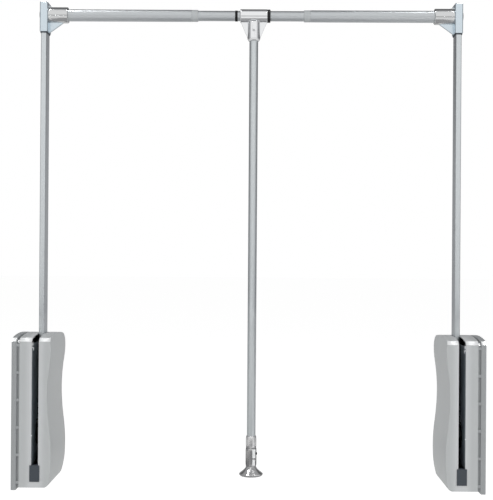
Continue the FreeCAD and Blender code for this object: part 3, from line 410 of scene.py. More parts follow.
WALL = 406.0
PLATE, CASE, PARTING, FLAT_SIDE = 9.0, 13.5, 40.7, 60
SLOT_NEAR, SLOT_FAR = 34.9, 46.5
SLOT_FOOT, SLOT_BACK = 15.0, 15.65
FRONT, BACK = -70.25, 71.75
FOOT, FACE_TOP, BROW_TOP, BACK_TOP = 4.5, 254.7, 260.9, 262.5
BROW_RUN, CROWN_RISE = 6.5, 4.2
LOW_RADIUS, TOP_RADIUS = 38.0, 20.0
CASE_WALL = 2.5
BELLY, WAIST, SHOULDER = (68.4, 60), (61.4, 163), (67.5, 240)
LOWER_TURN, UPPER_TURN = 107, 215
CHIN_RADIUS, CHIN_CORNER = 330, 9.0
PIVOT_Y, PIVOT_Z = -2.25, 92.0
STRUT_REACH, STRUT_Y, ANCHOR_Z = 26, PIVOT_Y + 24, 242.2
SPRING_FOOT, SPRING_SEAT, SPRING_TRAVEL = 89.43, 225.2, 34
WALL_SCREW_Y, WALL_SCREW_Z, WALL_SCREW_BORE = (0.75 - 44, 0.75 + 44), (36, 228), 2.75
BUMPER_FOOT, BUMPER_TOP = 15, 43
BAR_Z = 829.2
ARM_REACH, ARM_FOOT, ARM_WIDE, ARM_DEEP, ARM_IN_CAP = 40.7, 112, 10, 30, 38
CAP_FOOT, CAP_TOP, CAP_HALF = BAR_Z - 31.5, BAR_Z + 21.3, 7.1
TUBE_RADIUS, TUBE_END = 10.5, -105.3
TEE_X = 5.2
TEE_LEFT, TEE_RIGHT = TEE_X - 24.15, TEE_X + 24.15
TEE_FOOT, TEE_SOCKET = BAR_Z - 44.8, 26
ROD_RADIUS, ROD_BORE = 7.7, 7.75
RAIL_AXIS, ROD_AXIS = (0, PIVOT_Y, BAR_Z), (TEE_X, PIVOT_Y, 0)


def mm(*values):
    return tuple(value * MM for value in values)


def from_wall(reach):
    """X on the left side, in millimetres, of a reach from the wall face."""
    return reach - WALL


def move(*step):
    """Moves what is selected by a step in millimetres."""
    bpy.ops.transform.translate(value=mm(*step))


def stretch(centre, *factors):
    """Scales what is selected about a point in millimetres."""
    bpy.ops.transform.resize(value=factors, center_override=mm(*centre))


def block(name, low, high):
    """A box between two corners, open for editing; it is shaped further before it is used."""
    middle = [(a + b) / 2 for a, b in zip(low, high)]
    sides = [b - a for a, b in zip(low, high)]
    piece = begin(bpy.ops.mesh.primitive_cube_add, name, size=1 * MM, location=mm(*middle))
    stretch(middle, *sides)
    return piece


def rib(name, low, high):
    """A plain rib or stem between two corners, for joining to a larger piece."""
    return end(block(name, low, high))


def turned(name, axis, centre, profile, around=64, solid=False):
    """A piece turned about a line along X or Z, from (place, radius) steps in millimetres.

    A ring goes back to its first step; a solid starts and ends with a flat face."""
    along = "XZ".index(axis) * 2
    place, radius = profile[0]
    at = list(centre)
    at[along] = place
    piece = begin(
        bpy.ops.mesh.primitive_circle_add,
        name,
        vertices=around,
        radius=radius * MM,
        fill_type="NGON" if solid else "NOTHING",
        location=mm(*at),
        rotation=(0, math.pi / 2, 0) if axis == "X" else (0, 0, 0),
    )
    for next_place, next_radius in profile[1:] + ([] if solid else profile[:1]):
        step = [0, 0, 0]
        step[along] = (next_place - place) * MM
        push(*step)
        at[along] = next_place
        factor = next_radius / radius
        if factor != 1:
            stretch(at, *(1 if i == along else factor for i in range(3)))
        place, radius = next_place, next_radius
    return end(piece)


def round_over(piece, test, width, segments=4):
    """Rounds the edges that pass the test."""
    pick(piece, "EDGE", test)
    bpy.ops.mesh.bevel(offset=width * MM, segments=segments, affect="EDGES", clamp_overlap=True)


def cut_at(point, normal, **clear):
    """Cuts the whole mesh that is open by a plane, and may clear one side of it."""
    pick_all()
    bpy.ops.mesh.bisect(plane_co=mm(*point), plane_no=normal, **clear)


def hollow(piece, cutter):
    """Cuts the cutter's shape out of a piece."""
    apply(piece, "BOOLEAN", operation="DIFFERENCE", solver="EXACT", object=cutter)
    bpy.data.objects.remove(cutter)


def near(value, wanted, slack=0.02):
    """True for a length in metres that is about the wanted number of millimetres."""
    return abs(value / MM - wanted) < slack


def middle_of(item):
    """Middle of an edge or face, in millimetres."""
    points = [vert.co for vert in item.verts]
    return sum(points, Vector()) / len(points) / MM


def is_sharp(edge):
    return len(edge.link_faces) == 2 and edge.calc_face_angle(0) > SHARP


def dress(piece, node, body, slot, width=0.6, segments=3, angle=32, finish_name=None):
    """Gives a finished piece its rounded edges, finish and body, and hides the node it stands for.
    """
    alone(piece)
    bpy.ops.object.shade_smooth()
    soften(piece, width, segments, angle)
    paint(piece, FINISHES[finish_name or slot], slot)
    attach(piece, body)
    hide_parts(node)


def dress_pair(piece, node, body, slot, **settings):
    """Dresses a left piece and its mirror image."""
    twin = mirrored(piece)
    for side, one in (("left", piece), ("right", twin)):
        dress(one, side + "_" + node, side + "_" + body, slot, **settings)
    return piece, twin


def add_trim(piece, finish_name, slot, **rounding):
    """Fixes a small left piece that stands for no node, and its mirror image, to the units."""
    for one, side in ((mirrored(piece), "right"), (piece, "left")):
        alone(one)
        bpy.ops.object.shade_smooth()
        if rounding:
            soften(one, **rounding)
        paint(one, FINISHES[finish_name], slot)
        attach(one, side + "_unit")


def refinish(piece, finish_name, test):
    """Gives the faces that pass the test a finish of their own.

    The test gets a face's middle in millimetres, with X without its sign, and its normal."""
    piece.data.materials.append(FINISHES[finish_name])
    last = len(piece.data.materials) - 1
    for face in piece.data.polygons:
        spot = face.center / MM
        if test(Vector((abs(spot.x), spot.y, spot.z)), face.normal):
            face.material_index = last


# ---- side units ----


def swell(height):
    """Reach of the waved room-side face: belly, waist and shoulder."""
    belly, belly_z = BELLY
    waist, waist_z = WAIST
    shoulder, shoulder_z = SHOULDER
    chin_z = FOOT + CHIN_CORNER
    if height < chin_z:
        chin = belly - (belly_z - chin_z) ** 2 / (2 * CHIN_RADIUS)
        drop = min(chin_z - height, CHIN_CORNER)
        return chin - CHIN_CORNER + math.sqrt(CHIN_CORNER**2 - drop**2)
    if height < belly_z:
        return belly - (belly_z - height) ** 2 / (2 * CHIN_RADIUS)
    lower = 2 * (belly - waist) / (waist_z - belly_z)
    upper = 2 * (shoulder - waist) / (shoulder_z - waist_z)
    if height < LOWER_TURN:
        return belly - lower * (height - belly_z) ** 2 / (2 * (LOWER_TURN - belly_z))
    if height < waist_z:
        return waist + lower * (waist_z - height) ** 2 / (2 * (waist_z - LOWER_TURN))
    if height < UPPER_TURN:
        return waist + upper * (height - waist_z) ** 2 / (2 * (UPPER_TURN - waist_z))
    return shoulder - upper * (shoulder_z - height) ** 2 / (2 * (shoulder_z - UPPER_TURN))


def unit_outline(name, reach, foot):
    """Side view of a unit as one face: flat front, sloped brow, crowned top, round back."""
    x = from_wall(reach)
    centre = (x, (FRONT + BACK) / 2, (foot + BACK_TOP) / 2)
    piece = begin(
        bpy.ops.mesh.primitive_plane_add,
        name,
        size=1 * MM,
        location=mm(*centre),
        rotation=(0, math.pi / 2, 0),
    )
    stretch(centre, 1, BACK - FRONT, BACK_TOP - foot)
    for height, radius, steps in ((foot, LOW_RADIUS, 12), (BACK_TOP, TOP_RADIUS, 8)):
        pick(piece, "VERT", lambda vert: near(vert.co.y, BACK) and near(vert.co.z, height))
        bpy.ops.mesh.bevel(offset=radius * MM, segments=steps, affect="VERTICES")

    def top_edge(edge):
        return near(middle_of(edge).z * MM, BACK_TOP) and edge.calc_length() > 50 * MM

    pick(piece, "EDGE", top_edge)
    bpy.ops.mesh.subdivide(number_cuts=13)
    mesh = bmesh.from_edit_mesh(piece.data)
    row = sorted(vert.co.y / MM for vert in mesh.verts if near(vert.co.z, BACK_TOP))
    start, stop = FRONT + BROW_RUN, BACK - TOP_RADIUS
    for index, y in enumerate(row[:-1]):
        pick(piece, "VERT", lambda vert: near(vert.co.z, BACK_TOP) and near(vert.co.y, y))
        if index == 0:
            move(0, 0, FACE_TOP - BACK_TOP)
            continue
        share = (index - 1) / (len(row) - 2)
        crown = CROWN_RISE * (1 - (2 * share - 1) ** 2)
        rise = (BROW_TOP - BACK_TOP) * (1 - share) + crown
        # a trace more, so that no step is nothing
        move(0, start + (stop - start) * share - y, rise + 0.001)
    return piece


def casing_skin():
    """Outer skin of the left casing: waved room side, rounded rim and the arm's slot."""
    piece = unit_outline("left_casing", CASE, FOOT)
    pick_all()
    push((FLAT_SIDE - CASE) * MM, 0, 0)
    chin_levels = [5.1, 6.2, 8, 10.5, FOOT + CHIN_CORNER]
    for height in chin_levels + [19 + 7 * step for step in range(34)]:
        cut_at((0, 0, height), (0, 0, 1))
    pick_all()
    bpy.ops.mesh.remove_doubles(threshold=5 * MERGE * MM)
    bpy.ops.mesh.normals_make_consistent(inside=False)
    outer = from_wall(FLAT_SIDE)
    mesh = bmesh.from_edit_mesh(piece.data)
    heights = sorted({round(vert.co.z / MM, 3) for vert in mesh.verts if near(vert.co.x, outer)})
    for height in heights:
        pick(piece, "VERT", lambda vert: near(vert.co.x, outer) and near(vert.co.z, height, 0.002))
        move(swell(height) - FLAT_SIDE, 0, 0)

    def on_rim(edge):
        """True for the rim of the waved side, all round but for the chin."""
        spot = middle_of(edge)
        return is_sharp(edge) and spot.x > from_wall(FLAT_SIDE - 5) and spot.z > FOOT + 1

    def on_wall_rim(edge):
        return is_sharp(edge) and all(near(vert.co.x, from_wall(CASE)) for vert in edge.verts)

    def on_front_foot(edge):
        verts = edge.verts
        return all(near(vert.co.y, FRONT, 0.1) and near(vert.co.z, FOOT, 0.1) for vert in verts)

    round_over(piece, on_rim, 3.6)
    round_over(piece, on_wall_rim, 1.6, 3)
    # the lowest of the chin's levels keeps this one narrower
    round_over(piece, on_front_foot, 3.0)
    # slot for the arm, open to the front and over the front half of the top
    for reach in (SLOT_NEAR, SLOT_FAR):
        cut_at((from_wall(reach), 0, 0), (1, 0, 0))
    cut_at((0, 0, SLOT_FOOT), (0, 0, 1))
    cut_at((0, SLOT_BACK, 0), (0, 1, 0))

    def in_slot(face):
        spot = middle_of(face)
        across = from_wall(SLOT_NEAR) < spot.x < from_wall(SLOT_FAR)
        return across and spot.z > SLOT_FOOT and spot.y < SLOT_BACK

    pick(piece, "FACE", in_slot)
    bpy.ops.mesh.delete(type="FACE")
    return end(piece)


def boss(name, reach, far, y, z, radius, bore=None):
    """Round boss across the casing, drilled for a bolt or screw where it has a bore."""
    ends = (from_wall(reach), from_wall(far))
    if bore is None:
        return turned(name, "X", (0, y, z), [(ends[0], radius), (ends[1], radius)], 32, solid=True)
    loop = [(ends[0], bore), (ends[1], bore), (ends[1], radius), (ends[0], radius)]
    return turned(name, "X", (0, y, z), loop, 32)


def on_lip(edge):
    """True for the outer edges of the arm's slot, on the front, the brow and the top."""
    for vert in edge.verts:
        spot = vert.co / MM
        at_side = min(abs(spot.x - from_wall(SLOT_NEAR)), abs(spot.x - from_wall(SLOT_FAR))) < 0.05
        brow = FACE_TOP + (spot.y - FRONT) * (BROW_TOP - FACE_TOP) / BROW_RUN
        outer = spot.y < FRONT + 0.2 or spot.z > min(brow, BROW_TOP) - 0.2
        if not (at_side and outer and spot.y < SLOT_BACK - 1):
            return False
    return is_sharp(edge)


def on_brow(spot, normal):
    """True for the sloped facet between a unit's front and its top, which is painted paler as a
    highlight.
    """
    return normal.z > 0.5 and normal.y < -0.5 and abs(normal.x) < 0.5 and spot.z > FACE_TOP - 1


def on_foot(spot, normal):
    """True for the middle of the rounding along the front's lower edge, which is painted paler as a
    highlight.
    """
    near_edge = spot.z < FOOT + 3.2 and spot.y < FRONT + 3.2
    return near_edge and 0.35 < -normal.z < 0.95 and -normal.y > 0.3


# Places (y, z) of the four long screws.
CASE_SCREWS = (
    (FRONT + 26, FOOT + 12),
    (BACK - 16, FOOT + 26),
    (BACK - 12, PIVOT_Z + 60),
    (BACK - 14, BACK_TOP - 26),
)


def casing():
    """Both halves of the casing, parted along the middle of the slot."""
    skin = casing_skin()
    cover = copied(skin, "left_casing_cover")
    skin.name = skin.data.name = "left_casing_back"
    for half, cleared in ((skin, {"clear_outer": True}), (cover, {"clear_inner": True})):
        reopen(half)
        cut_at((from_wall(PARTING), 0, 0), (1, 0, 0), **cleared)
        bpy.ops.object.mode_set(mode="OBJECT")
        apply(half, "SOLIDIFY", thickness=CASE_WALL * MM, offset=-1, use_even_offset=True)
        bpy.ops.object.mode_set(mode="EDIT")
        round_over(half, on_lip, 1.1, 3)
        end(half)

    def guide(name, y):
        """A rib beside the spring's follower."""
        return rib(name, (from_wall(floor), y, 52), (from_wall(20.1), y + 3, 136))

    def rest_rib(start, stop):
        """The rib behind the raised arm, from one reach to another."""
        low, high = (from_wall(start), SLOT_BACK, 247.85), (from_wall(stop), 18.65, 262.6)
        return rib("rest_rib", low, high)

    def axle_boss(start, stop):
        return boss("axle_boss", start, stop, PIVOT_Y, PIVOT_Z, 8, 5.05)

    # bosses and ribs start a little inside the wall that they stand on
    floor = CASE + CASE_WALL - 0.3
    inner = [
        axle_boss(floor, 24.85),
        boss("anchor_boss", floor, 21.95, STRUT_Y, ANCHOR_Z, 7, 4.05),
        guide("guide_near", 36.75),
        guide("guide_far", 47.55),
        rest_rib(SLOT_NEAR, PARTING),
    ]
    inner += [boss("screw_boss", floor, PARTING, y, z, 4.5, 2.05) for y, z in CASE_SCREWS]
    back = joined(skin, *inner)
    inner = [rest_rib(PARTING, SLOT_FAR), axle_boss(54.8, 65.5)]
    inner += [boss("screw_boss", PARTING, swell(z) - 2, y, z, 4.5, 2.05) for y, z in CASE_SCREWS]
    cover = joined(cover, *inner)
    halves = dress_pair(back, "case_back", "unit", "grey_case", width=0.5, angle=31)
    halves += dress_pair(cover, "case_cover", "unit", "grey_case", width=0.5, angle=31)
    for half in halves:
        # painted highlight: the brow facet and the front's lower rounding get the paler brow colour
        refinish(half, "brow", on_brow)
        refinish(half, "brow", on_foot)


# Reach of each cheek behind the slot, and the radius that it leaves free around the pivot.
CHEEKS = (("left_wall_cheek", 33.7, 30), ("left_room_cheek", 47.3, 13))
CHEEK_FRONT, CHEEK_BACK, CHEEK_TOP = FRONT + CASE_WALL + 0.05, -14, 251
# Place (y, z) and radius of each rivet, and the shape of its head: rise and share of radius. The
# rivets are near-white: painted glints at the slot's top.
GLINT_RIVETS = ((-60, 249.5, 3.4), (-54, 241, 3.4), (-63, 244, 1.6))
DOME = ((0, 1), (0.5, 0.98), (0.9, 0.9), (1.2, 0.76), (1.4, 0.55), (1.5, 0.3))


def slot_shade_lining():
    """Dark cheeks behind the slot's edges, painted as the shade inside the slot, open around the
    pivot, with three near-white rivets that paint its glints.
    """

    def front_top(edge):
        verts = edge.verts
        return all(near(vert.co.z, CHEEK_TOP) and near(vert.co.y, CHEEK_FRONT) for vert in verts)

    for name, reach, clear in CHEEKS:
        low = (from_wall(reach), CHEEK_FRONT, BUMPER_TOP + 0.5)
        cheek = block(name, low, (from_wall(reach + 0.5), CHEEK_BACK, CHEEK_TOP))
        round_over(cheek, front_top, 3)
        end(cheek)
        drill = [(from_wall(reach - 2), clear), (from_wall(reach + 2), clear)]
        hollow(cheek, turned("clearance", "X", (0, PIVOT_Y, PIVOT_Z), drill, solid=True))
        add_trim(cheek, "slot_shade_lining", "black_nylon", width=0.15, segments=2, angle=40)
    for index, (y, z, radius) in enumerate(GLINT_RIVETS):
        steps = [(from_wall(34 + rise), radius * share) for rise, share in DOME]
        rivet = turned("left_slot_rivet_%d" % index, "X", (0, y, z), steps, 24, solid=True)
        add_trim(rivet, "bright_zinc", "steel")


def slot_nub():
    """Near-white end of a pin at the wall side of each slot: a painted glint."""
    piece = begin(
        bpy.ops.mesh.primitive_uv_sphere_add,
        "left_slot_nub",
        segments=24,
        ring_count=14,
        radius=1.7 * MM,
        location=mm(from_wall(33.9), FRONT + 1.75, PIVOT_Z + 1.5),
    )
    add_trim(end(piece), "bright_zinc", "steel")


def lift_spring():
    """Coil round the damper, built at rest; the real one presses together as the follower under it
    rises.
    """
    foot, seat, gauge, radius, turns = SPRING_FOOT, SPRING_SEAT, 1.2, 7.3, 13
    piece = begin(
        bpy.ops.mesh.primitive_circle_add,
        "left_spring_coil",
        vertices=10,
        radius=gauge * MM,
        location=mm(radius, 0, foot + gauge),
        rotation=(math.pi / 2, 0, 0),
    )
    bpy.ops.object.mode_set(mode="OBJECT")
    apply(
        piece,
        "SCREW",
        axis="Z",
        angle=2 * math.pi,
        iterations=turns,
        steps=28,
        render_steps=28,
        screw_offset=(seat - foot - 2 * gauge) / turns * MM,
    )
    bpy.ops.object.mode_set(mode="EDIT")
    pick_all()
    bpy.ops.mesh.fill_holes(sides=0)
    pick_all()
    move(from_wall(STRUT_REACH), STRUT_Y, 0)
    end(piece)
    pair = dress_pair(piece, "lift_spring", "unit", "dark_steel", width=0.2, segments=2, angle=60)
    for side, one in zip(("left", "right"), pair):
        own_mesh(one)


def wall_plate():
    """Plate on the wardrobe's side, with the neck and tabs that carry the casing."""
    piece = unit_outline("left_plate_shell", 0, 0)
    pick_all()
    push(PLATE * MM, 0, 0)
    pick_all()
    bpy.ops.mesh.normals_make_consistent(inside=False)

    def lies_at(item, reach):
        return near(middle_of(item).x * MM, from_wall(reach))

    round_over(piece, lambda edge: is_sharp(edge) and lies_at(edge, PLATE), 1.6)
    # the neck grows out of the face, and the tray sinks into the neck
    neck_wall = tray_floor = 3.0
    for reach, inset, step in ((PLATE, 2.4, CASE - PLATE), (CASE, neck_wall, tray_floor - CASE)):
        pick(piece, "FACE", lambda face: face.normal.x > 0.99 and lies_at(face, reach))
        bpy.ops.mesh.inset(thickness=inset * MM, depth=0)
        push(step * MM, 0, 0)
    end(piece)
    places = [(y, z) for y in WALL_SCREW_Y for z in WALL_SCREW_Z]
    for y, z in places:
        hollow(piece, boss("drill", -1, PLATE, y, z, WALL_SCREW_BORE))
    extras = [boss("screw_boss", 2.7, PLATE, y, z, 7, WALL_SCREW_BORE) for y, z in places]
    for foot in (11, 58, 105, 152, 199, 246):
        low = (from_wall(PLATE) - 0.3, FRONT + 0.6, foot)
        extras.append(rib("tab", low, (from_wall(CASE), FRONT + 4.6, foot + 5)))
    piece = joined(piece, *extras)
    # painted highlight: the plate's brow facet gets the paler brow colour
    for one in dress_pair(piece, "wall_plate", "unit", "grey_plate", width=0.5, angle=31):
        refinish(one, "brow", on_brow)


def bumper():
    """Rubber block at the slot's foot, with a lipped top edge and a stem behind it."""
    x = from_wall(PARTING)
    low, high = (x - 8.5, FRONT - 1.5, BUMPER_FOOT), (x + 8.5, FRONT, BUMPER_TOP)
    piece = block("left_bumper_block", low, high)
    pick(piece, "FACE", lambda face: face.normal.z > 0.9)
    bpy.ops.mesh.inset(thickness=0.4 * MM, depth=0)
    end(piece)
    low, high = (x - 5.7, FRONT, BUMPER_FOOT + 0.1), (x + 5.7, FRONT + 12, BUMPER_TOP)
    piece = joined(piece, rib("stem", low, high))
    dress_pair(piece, "bumper", "unit", "rubber", width=0.7)


# ---- arms, corners and rail ----

# Rounding of only the sharpest edges, for tubes, rings and pins.
FINE = {"segments": 2, "angle": 50}


def arm():
    """Flat rectangular tube with rounded corners."""
    centre = (from_wall(ARM_REACH), PIVOT_Y, ARM_FOOT)
    plane = bpy.ops.mesh.primitive_plane_add
    piece = begin(plane, "left_arm_tube", size=1 * MM, location=mm(*centre))
    stretch(centre, ARM_WIDE, ARM_DEEP, 1)
    bpy.ops.mesh.bevel(offset=2 * MM, segments=5, affect="VERTICES")
    bpy.ops.mesh.select_mode(type="FACE")
    pick_all()
    bpy.ops.mesh.delete(type="ONLY_FACE")
    bpy.ops.mesh.select_mode(type="EDGE")
    pick_all()
    push(0, 0, (CAP_FOOT + ARM_IN_CAP - ARM_FOOT) * MM)
    end(piece)
    apply(piece, "SOLIDIFY", thickness=1.5 * MM, offset=-1, use_even_offset=True)
    dress_pair(piece, "swing_arm", "frame", "painted_arm", width=0.3, **FINE)


def web(name, corners, y, thick):
    """Flat web with four corners (x, z), half of its thickness before y and half behind."""
    middle = (sum(x for x, _ in corners) / 4, y - thick / 2, sum(z for _, z in corners) / 4)
    piece = begin(
        bpy.ops.mesh.primitive_plane_add,
        name,
        size=1 * MM,
        location=mm(*middle),
        rotation=(math.pi / 2, 0, 0),
    )

    def bearing(x, z):
        return math.atan2(z - middle[2], x - middle[0])

    mesh = bmesh.from_edit_mesh(piece.data)
    starts = [vert.co.copy() for vert in mesh.verts]
    starts.sort(key=lambda start: bearing(start.x / MM, start.z / MM))
    goals = sorted(corners, key=lambda goal: bearing(*goal))
    for start, (x, z) in zip(starts, goals):
        pick(piece, "VERT", lambda vert: (vert.co - start).length < 1e-7)
        move(x - start.x / MM, 0, z - start.z / MM)
    pick_all()
    push(0, thick * MM, 0)
    return end(piece)


def corner():
    """Die-cast corner: cap over the arm's end, sleeve for the rail and two webs."""
    x = from_wall(ARM_REACH)
    inner = x + CAP_HALF
    low, high = (x - CAP_HALF, PIVOT_Y - 17, CAP_FOOT), (inner, PIVOT_Y + 17, CAP_TOP)
    cap = block("left_corner_casting", low, high)

    def upright(edge):
        a, b = edge.verts
        return abs(a.co.z - b.co.z) > 20 * MM

    round_over(cap, upright, 2.6, 5)
    round_over(cap, lambda edge: all(near(vert.co.z, CAP_TOP) for vert in edge.verts), 2.2, 5)
    pick(cap, "FACE", lambda face: face.normal.z < -0.9)
    bpy.ops.mesh.inset(thickness=2.05 * MM, depth=0)
    push(0, 0, ARM_IN_CAP * MM)
    end(cap)
    tip = inner + 34.3
    loop = [(inner - 1, 10.55), (tip, 10.55), (tip, 12.4), (tip - 0.5, 13.3), (tip - 1.6, 14)]
    sleeve = turned("sleeve", "X", RAIL_AXIS, loop + [(inner - 1, 14)], 96)
    # the casting's parting bead along the sleeve's front, a little below the middle
    angle, bead_radius = math.radians(-14), 13.85
    y, z = PIVOT_Y - bead_radius * math.cos(angle), BAR_Z + bead_radius * math.sin(angle)
    bead = rib("bead", (inner, y - 0.35, z - 0.3), (tip - 2, y + 0.6, z + 0.3))
    low, high, root = CAP_FOOT + 0.6, BAR_Z - 12.5, inner - 1
    spots = [(root, low), (inner + 1.6, low), (inner + 27, high), (root, high)]
    lower = web("lower_web", spots, PIVOT_Y, 5)
    high = CAP_TOP - 5
    spots = [(root, BAR_Z + 12), (inner + 9, BAR_Z + 13), (inner + 0.6, high), (root, high)]
    upper = web("upper_web", spots, PIVOT_Y, 5)
    piece = joined(cap, sleeve, bead, lower, upper)

    def on_sleeve(spot, normal):
        from_axis = math.hypot(spot.y - PIVOT_Y, spot.z - BAR_Z)
        return spot.x < WALL - ARM_REACH - CAP_HALF - 0.2 and 10 < from_axis < 14.8

    for one in dress_pair(piece, "corner_fitting", "frame", "cast_corner", width=0.5, angle=35):
        refinish(one, "polished_cast", on_sleeve)


def corner_screw():
    """Round-headed screw with a hexagon socket, on the corner's outer face."""
    face = from_wall(ARM_REACH) - CAP_HALF
    head = face - 2.3
    tip = face + 2 * CAP_HALF + 16
    profile = [(head, 6.4), (head + 0.25, 7.6), (head + 0.9, 8.3), (face, 8.5)]
    profile += [(face, 4), (tip - 1, 4), (tip, 3)]
    piece = turned("left_corner_screw_turned", "X", RAIL_AXIS, profile, 48, solid=True)
    hollow(piece, turned("socket", "X", RAIL_AXIS, [(head - 1, 3), (head + 2, 3)], 6, solid=True))
    dress_pair(piece, "corner_screw", "frame", "steel", width=0.2, segments=2, angle=40)


def tube(name, start, stop, bore, radius, lips=()):
    """Round rail tube along X; lips are the (place, radius) steps of a rounded far end."""
    loop = [(start, bore), (stop, bore)] + list(lips or [(stop, radius)])
    return turned(name, "X", RAIL_AXIS, loop + [(start, radius)], 96)


def rail():
    """The three tubes of the rail, their collars, and the rings on both sides of the tee."""
    inner = from_wall(ARM_REACH) + CAP_HALF
    piece = tube("left_rail_tube", inner, TUBE_END, 9.3, TUBE_RADIUS)
    dress_pair(piece, "outer_tube", "frame", "tube", width=0.25, **FINE)
    loop = [(-120.3, 9.05), (-93.3, 9.05), (-93.3, 9.6), (-94.3, 10.45), (-95.2, TUBE_RADIUS)]
    loop += [(TUBE_END + 0.7, TUBE_RADIUS), (TUBE_END, 10.2), (TUBE_END, 9.25), (-120.3, 9.25)]
    collar = turned("left_rail_collar", "X", RAIL_AXIS, loop, 96)
    dress_pair(collar, "tube_collar", "frame", "tube_collar_grey", width=0.12, **FINE)
    piece = tube("inner_rail_tube", -232.5, 232.5, 7.8, 9)
    dress(piece, "inner_tube", "inner_rail", "tube", width=0.25, **FINE)
    ring = tube("rubber_stop_ring", -28.1, -23.6, 9.05, 9.6, [(-23.6, 9.3), (-23.9, 9.6)])
    look = {"width": 0.15, "finish_name": "black_rubber"}
    dress(ring, "tee_stop_ring", "inner_rail", "rubber", **look, **FINE)
    far = TEE_RIGHT + 5.0
    lips = [(far, 10.9), (far - 0.6, 11.6)]
    collar = tube("nylon_end_collar", TEE_RIGHT, far, 9.05, 11.6, lips)
    dress(collar, "tee_end_collar", "inner_rail", "black_nylon", width=0.2, **FINE)


# ---- tee, pull rod and handle ----


def tee():
    """Chromed tee: sleeve on the rail, stem for the rod and a thin gusset on each side."""
    loop = [(TEE_LEFT, 9.95), (TEE_RIGHT, 9.95), (TEE_RIGHT, 11.2), (TEE_RIGHT - 0.7, 11.9)]
    loop += [(TEE_LEFT + 0.7, 11.9), (TEE_LEFT, 11.2)]
    sleeve = turned("tee_casting", "X", RAIL_AXIS, loop, 96)
    foot, top = TEE_FOOT, BAR_Z - 10.6
    loop = [(foot + TEE_SOCKET, ROD_BORE), (foot, ROD_BORE), (foot, 8.9), (foot + 0.6, 9.5)]
    loop += [(foot + 3.4, 11.1), (foot + 4.6, 11.3), (top, 11.3), (top, ROD_BORE)]
    stem = turned("stem", "Z", ROD_AXIS, loop, 72)
    low, high = BAR_Z - 38.6, BAR_Z - 11.0
    outline = ((10.5, low), (11.4, low), (23.3, high), (10.5, high))
    gussets = [
        web("gusset", [(TEE_X + side * away, z) for away, z in outline], PIVOT_Y, 2.5)
        for side in (-1, 1)
    ]
    drill = begin(
        bpy.ops.mesh.primitive_cylinder_add,
        "drill",
        vertices=32,
        radius=1.95 * MM,
        depth=8 * MM,
        location=mm(TEE_X, PIVOT_Y - 12, BAR_Z - 27.1),
        rotation=(math.pi / 2, 0, 0),
    )
    end(drill)
    hollow(stem, drill)
    piece = joined(sleeve, stem, *gussets)
    dress(piece, "pull_rod_tee", "pull_rod", "chrome", width=0.3, angle=35)


def rod():
    """Tube from inside the grip to just short of the end of the tee's socket."""
    foot, top, bore = 36, TEE_FOOT + TEE_SOCKET - 0.3, 6.5
    loop = [(foot, bore), (top, bore), (top, ROD_RADIUS), (foot, ROD_RADIUS)]
    piece = turned("pull_rod_tube", "Z", ROD_AXIS, loop, 72)
    dress(piece, "pull_rod", "pull_rod", "tube", width=0.25, finish_name="rod", **FINE)


GRIP_TOP, GRIP_WAIST, PIN_Z = 65.3, 31.0, 55
# Height and radius of each step of the ferrule and of the grip.
FERRULE = [(GRIP_TOP, ROD_BORE), (GRIP_TOP, 8.4), (66.0, 8.9), (68.3, 9.25), (72, 9.4), (79, 9.4)]
FERRULE += [(83, 9.25), (85.4, 8.9), (86.1, 8.4), (86.1, ROD_BORE)]
GRIP = [(16.6, 12.0), (15.4, 15.6), (15.0, 17.2), (15.4, 18.6), (16.8, 20.2), (18.4, 20.9)]
GRIP += [(19.5, 20.8), (21.0, 19.2), (23.2, 16.2), (26.0, 12.9), (28.6, 10.6), (GRIP_WAIST, 9.2)]
GRIP += [(32.4, 8.85), (34.6, 9.45), (38, 9.65), (60, 9.65), (63.2, 9.5), (64.6, 9.1)]
GRIP += [(GRIP_TOP, 8.7), (GRIP_TOP, ROD_BORE), (35.7, ROD_BORE)]
# Each window's foot, top and width, and the heights between which its pale fill, a painted
# highlight, shows.
WINDOWS = ((46.6, 63.2, 6.8), (33.6, 44.8, 6.2))
WINDOW_HIGHLIGHTS = ((50.5, 62.8), (34, 44.4))
WINDOW_TURN, WINDOW_AWAY = math.radians(-56), 9.9


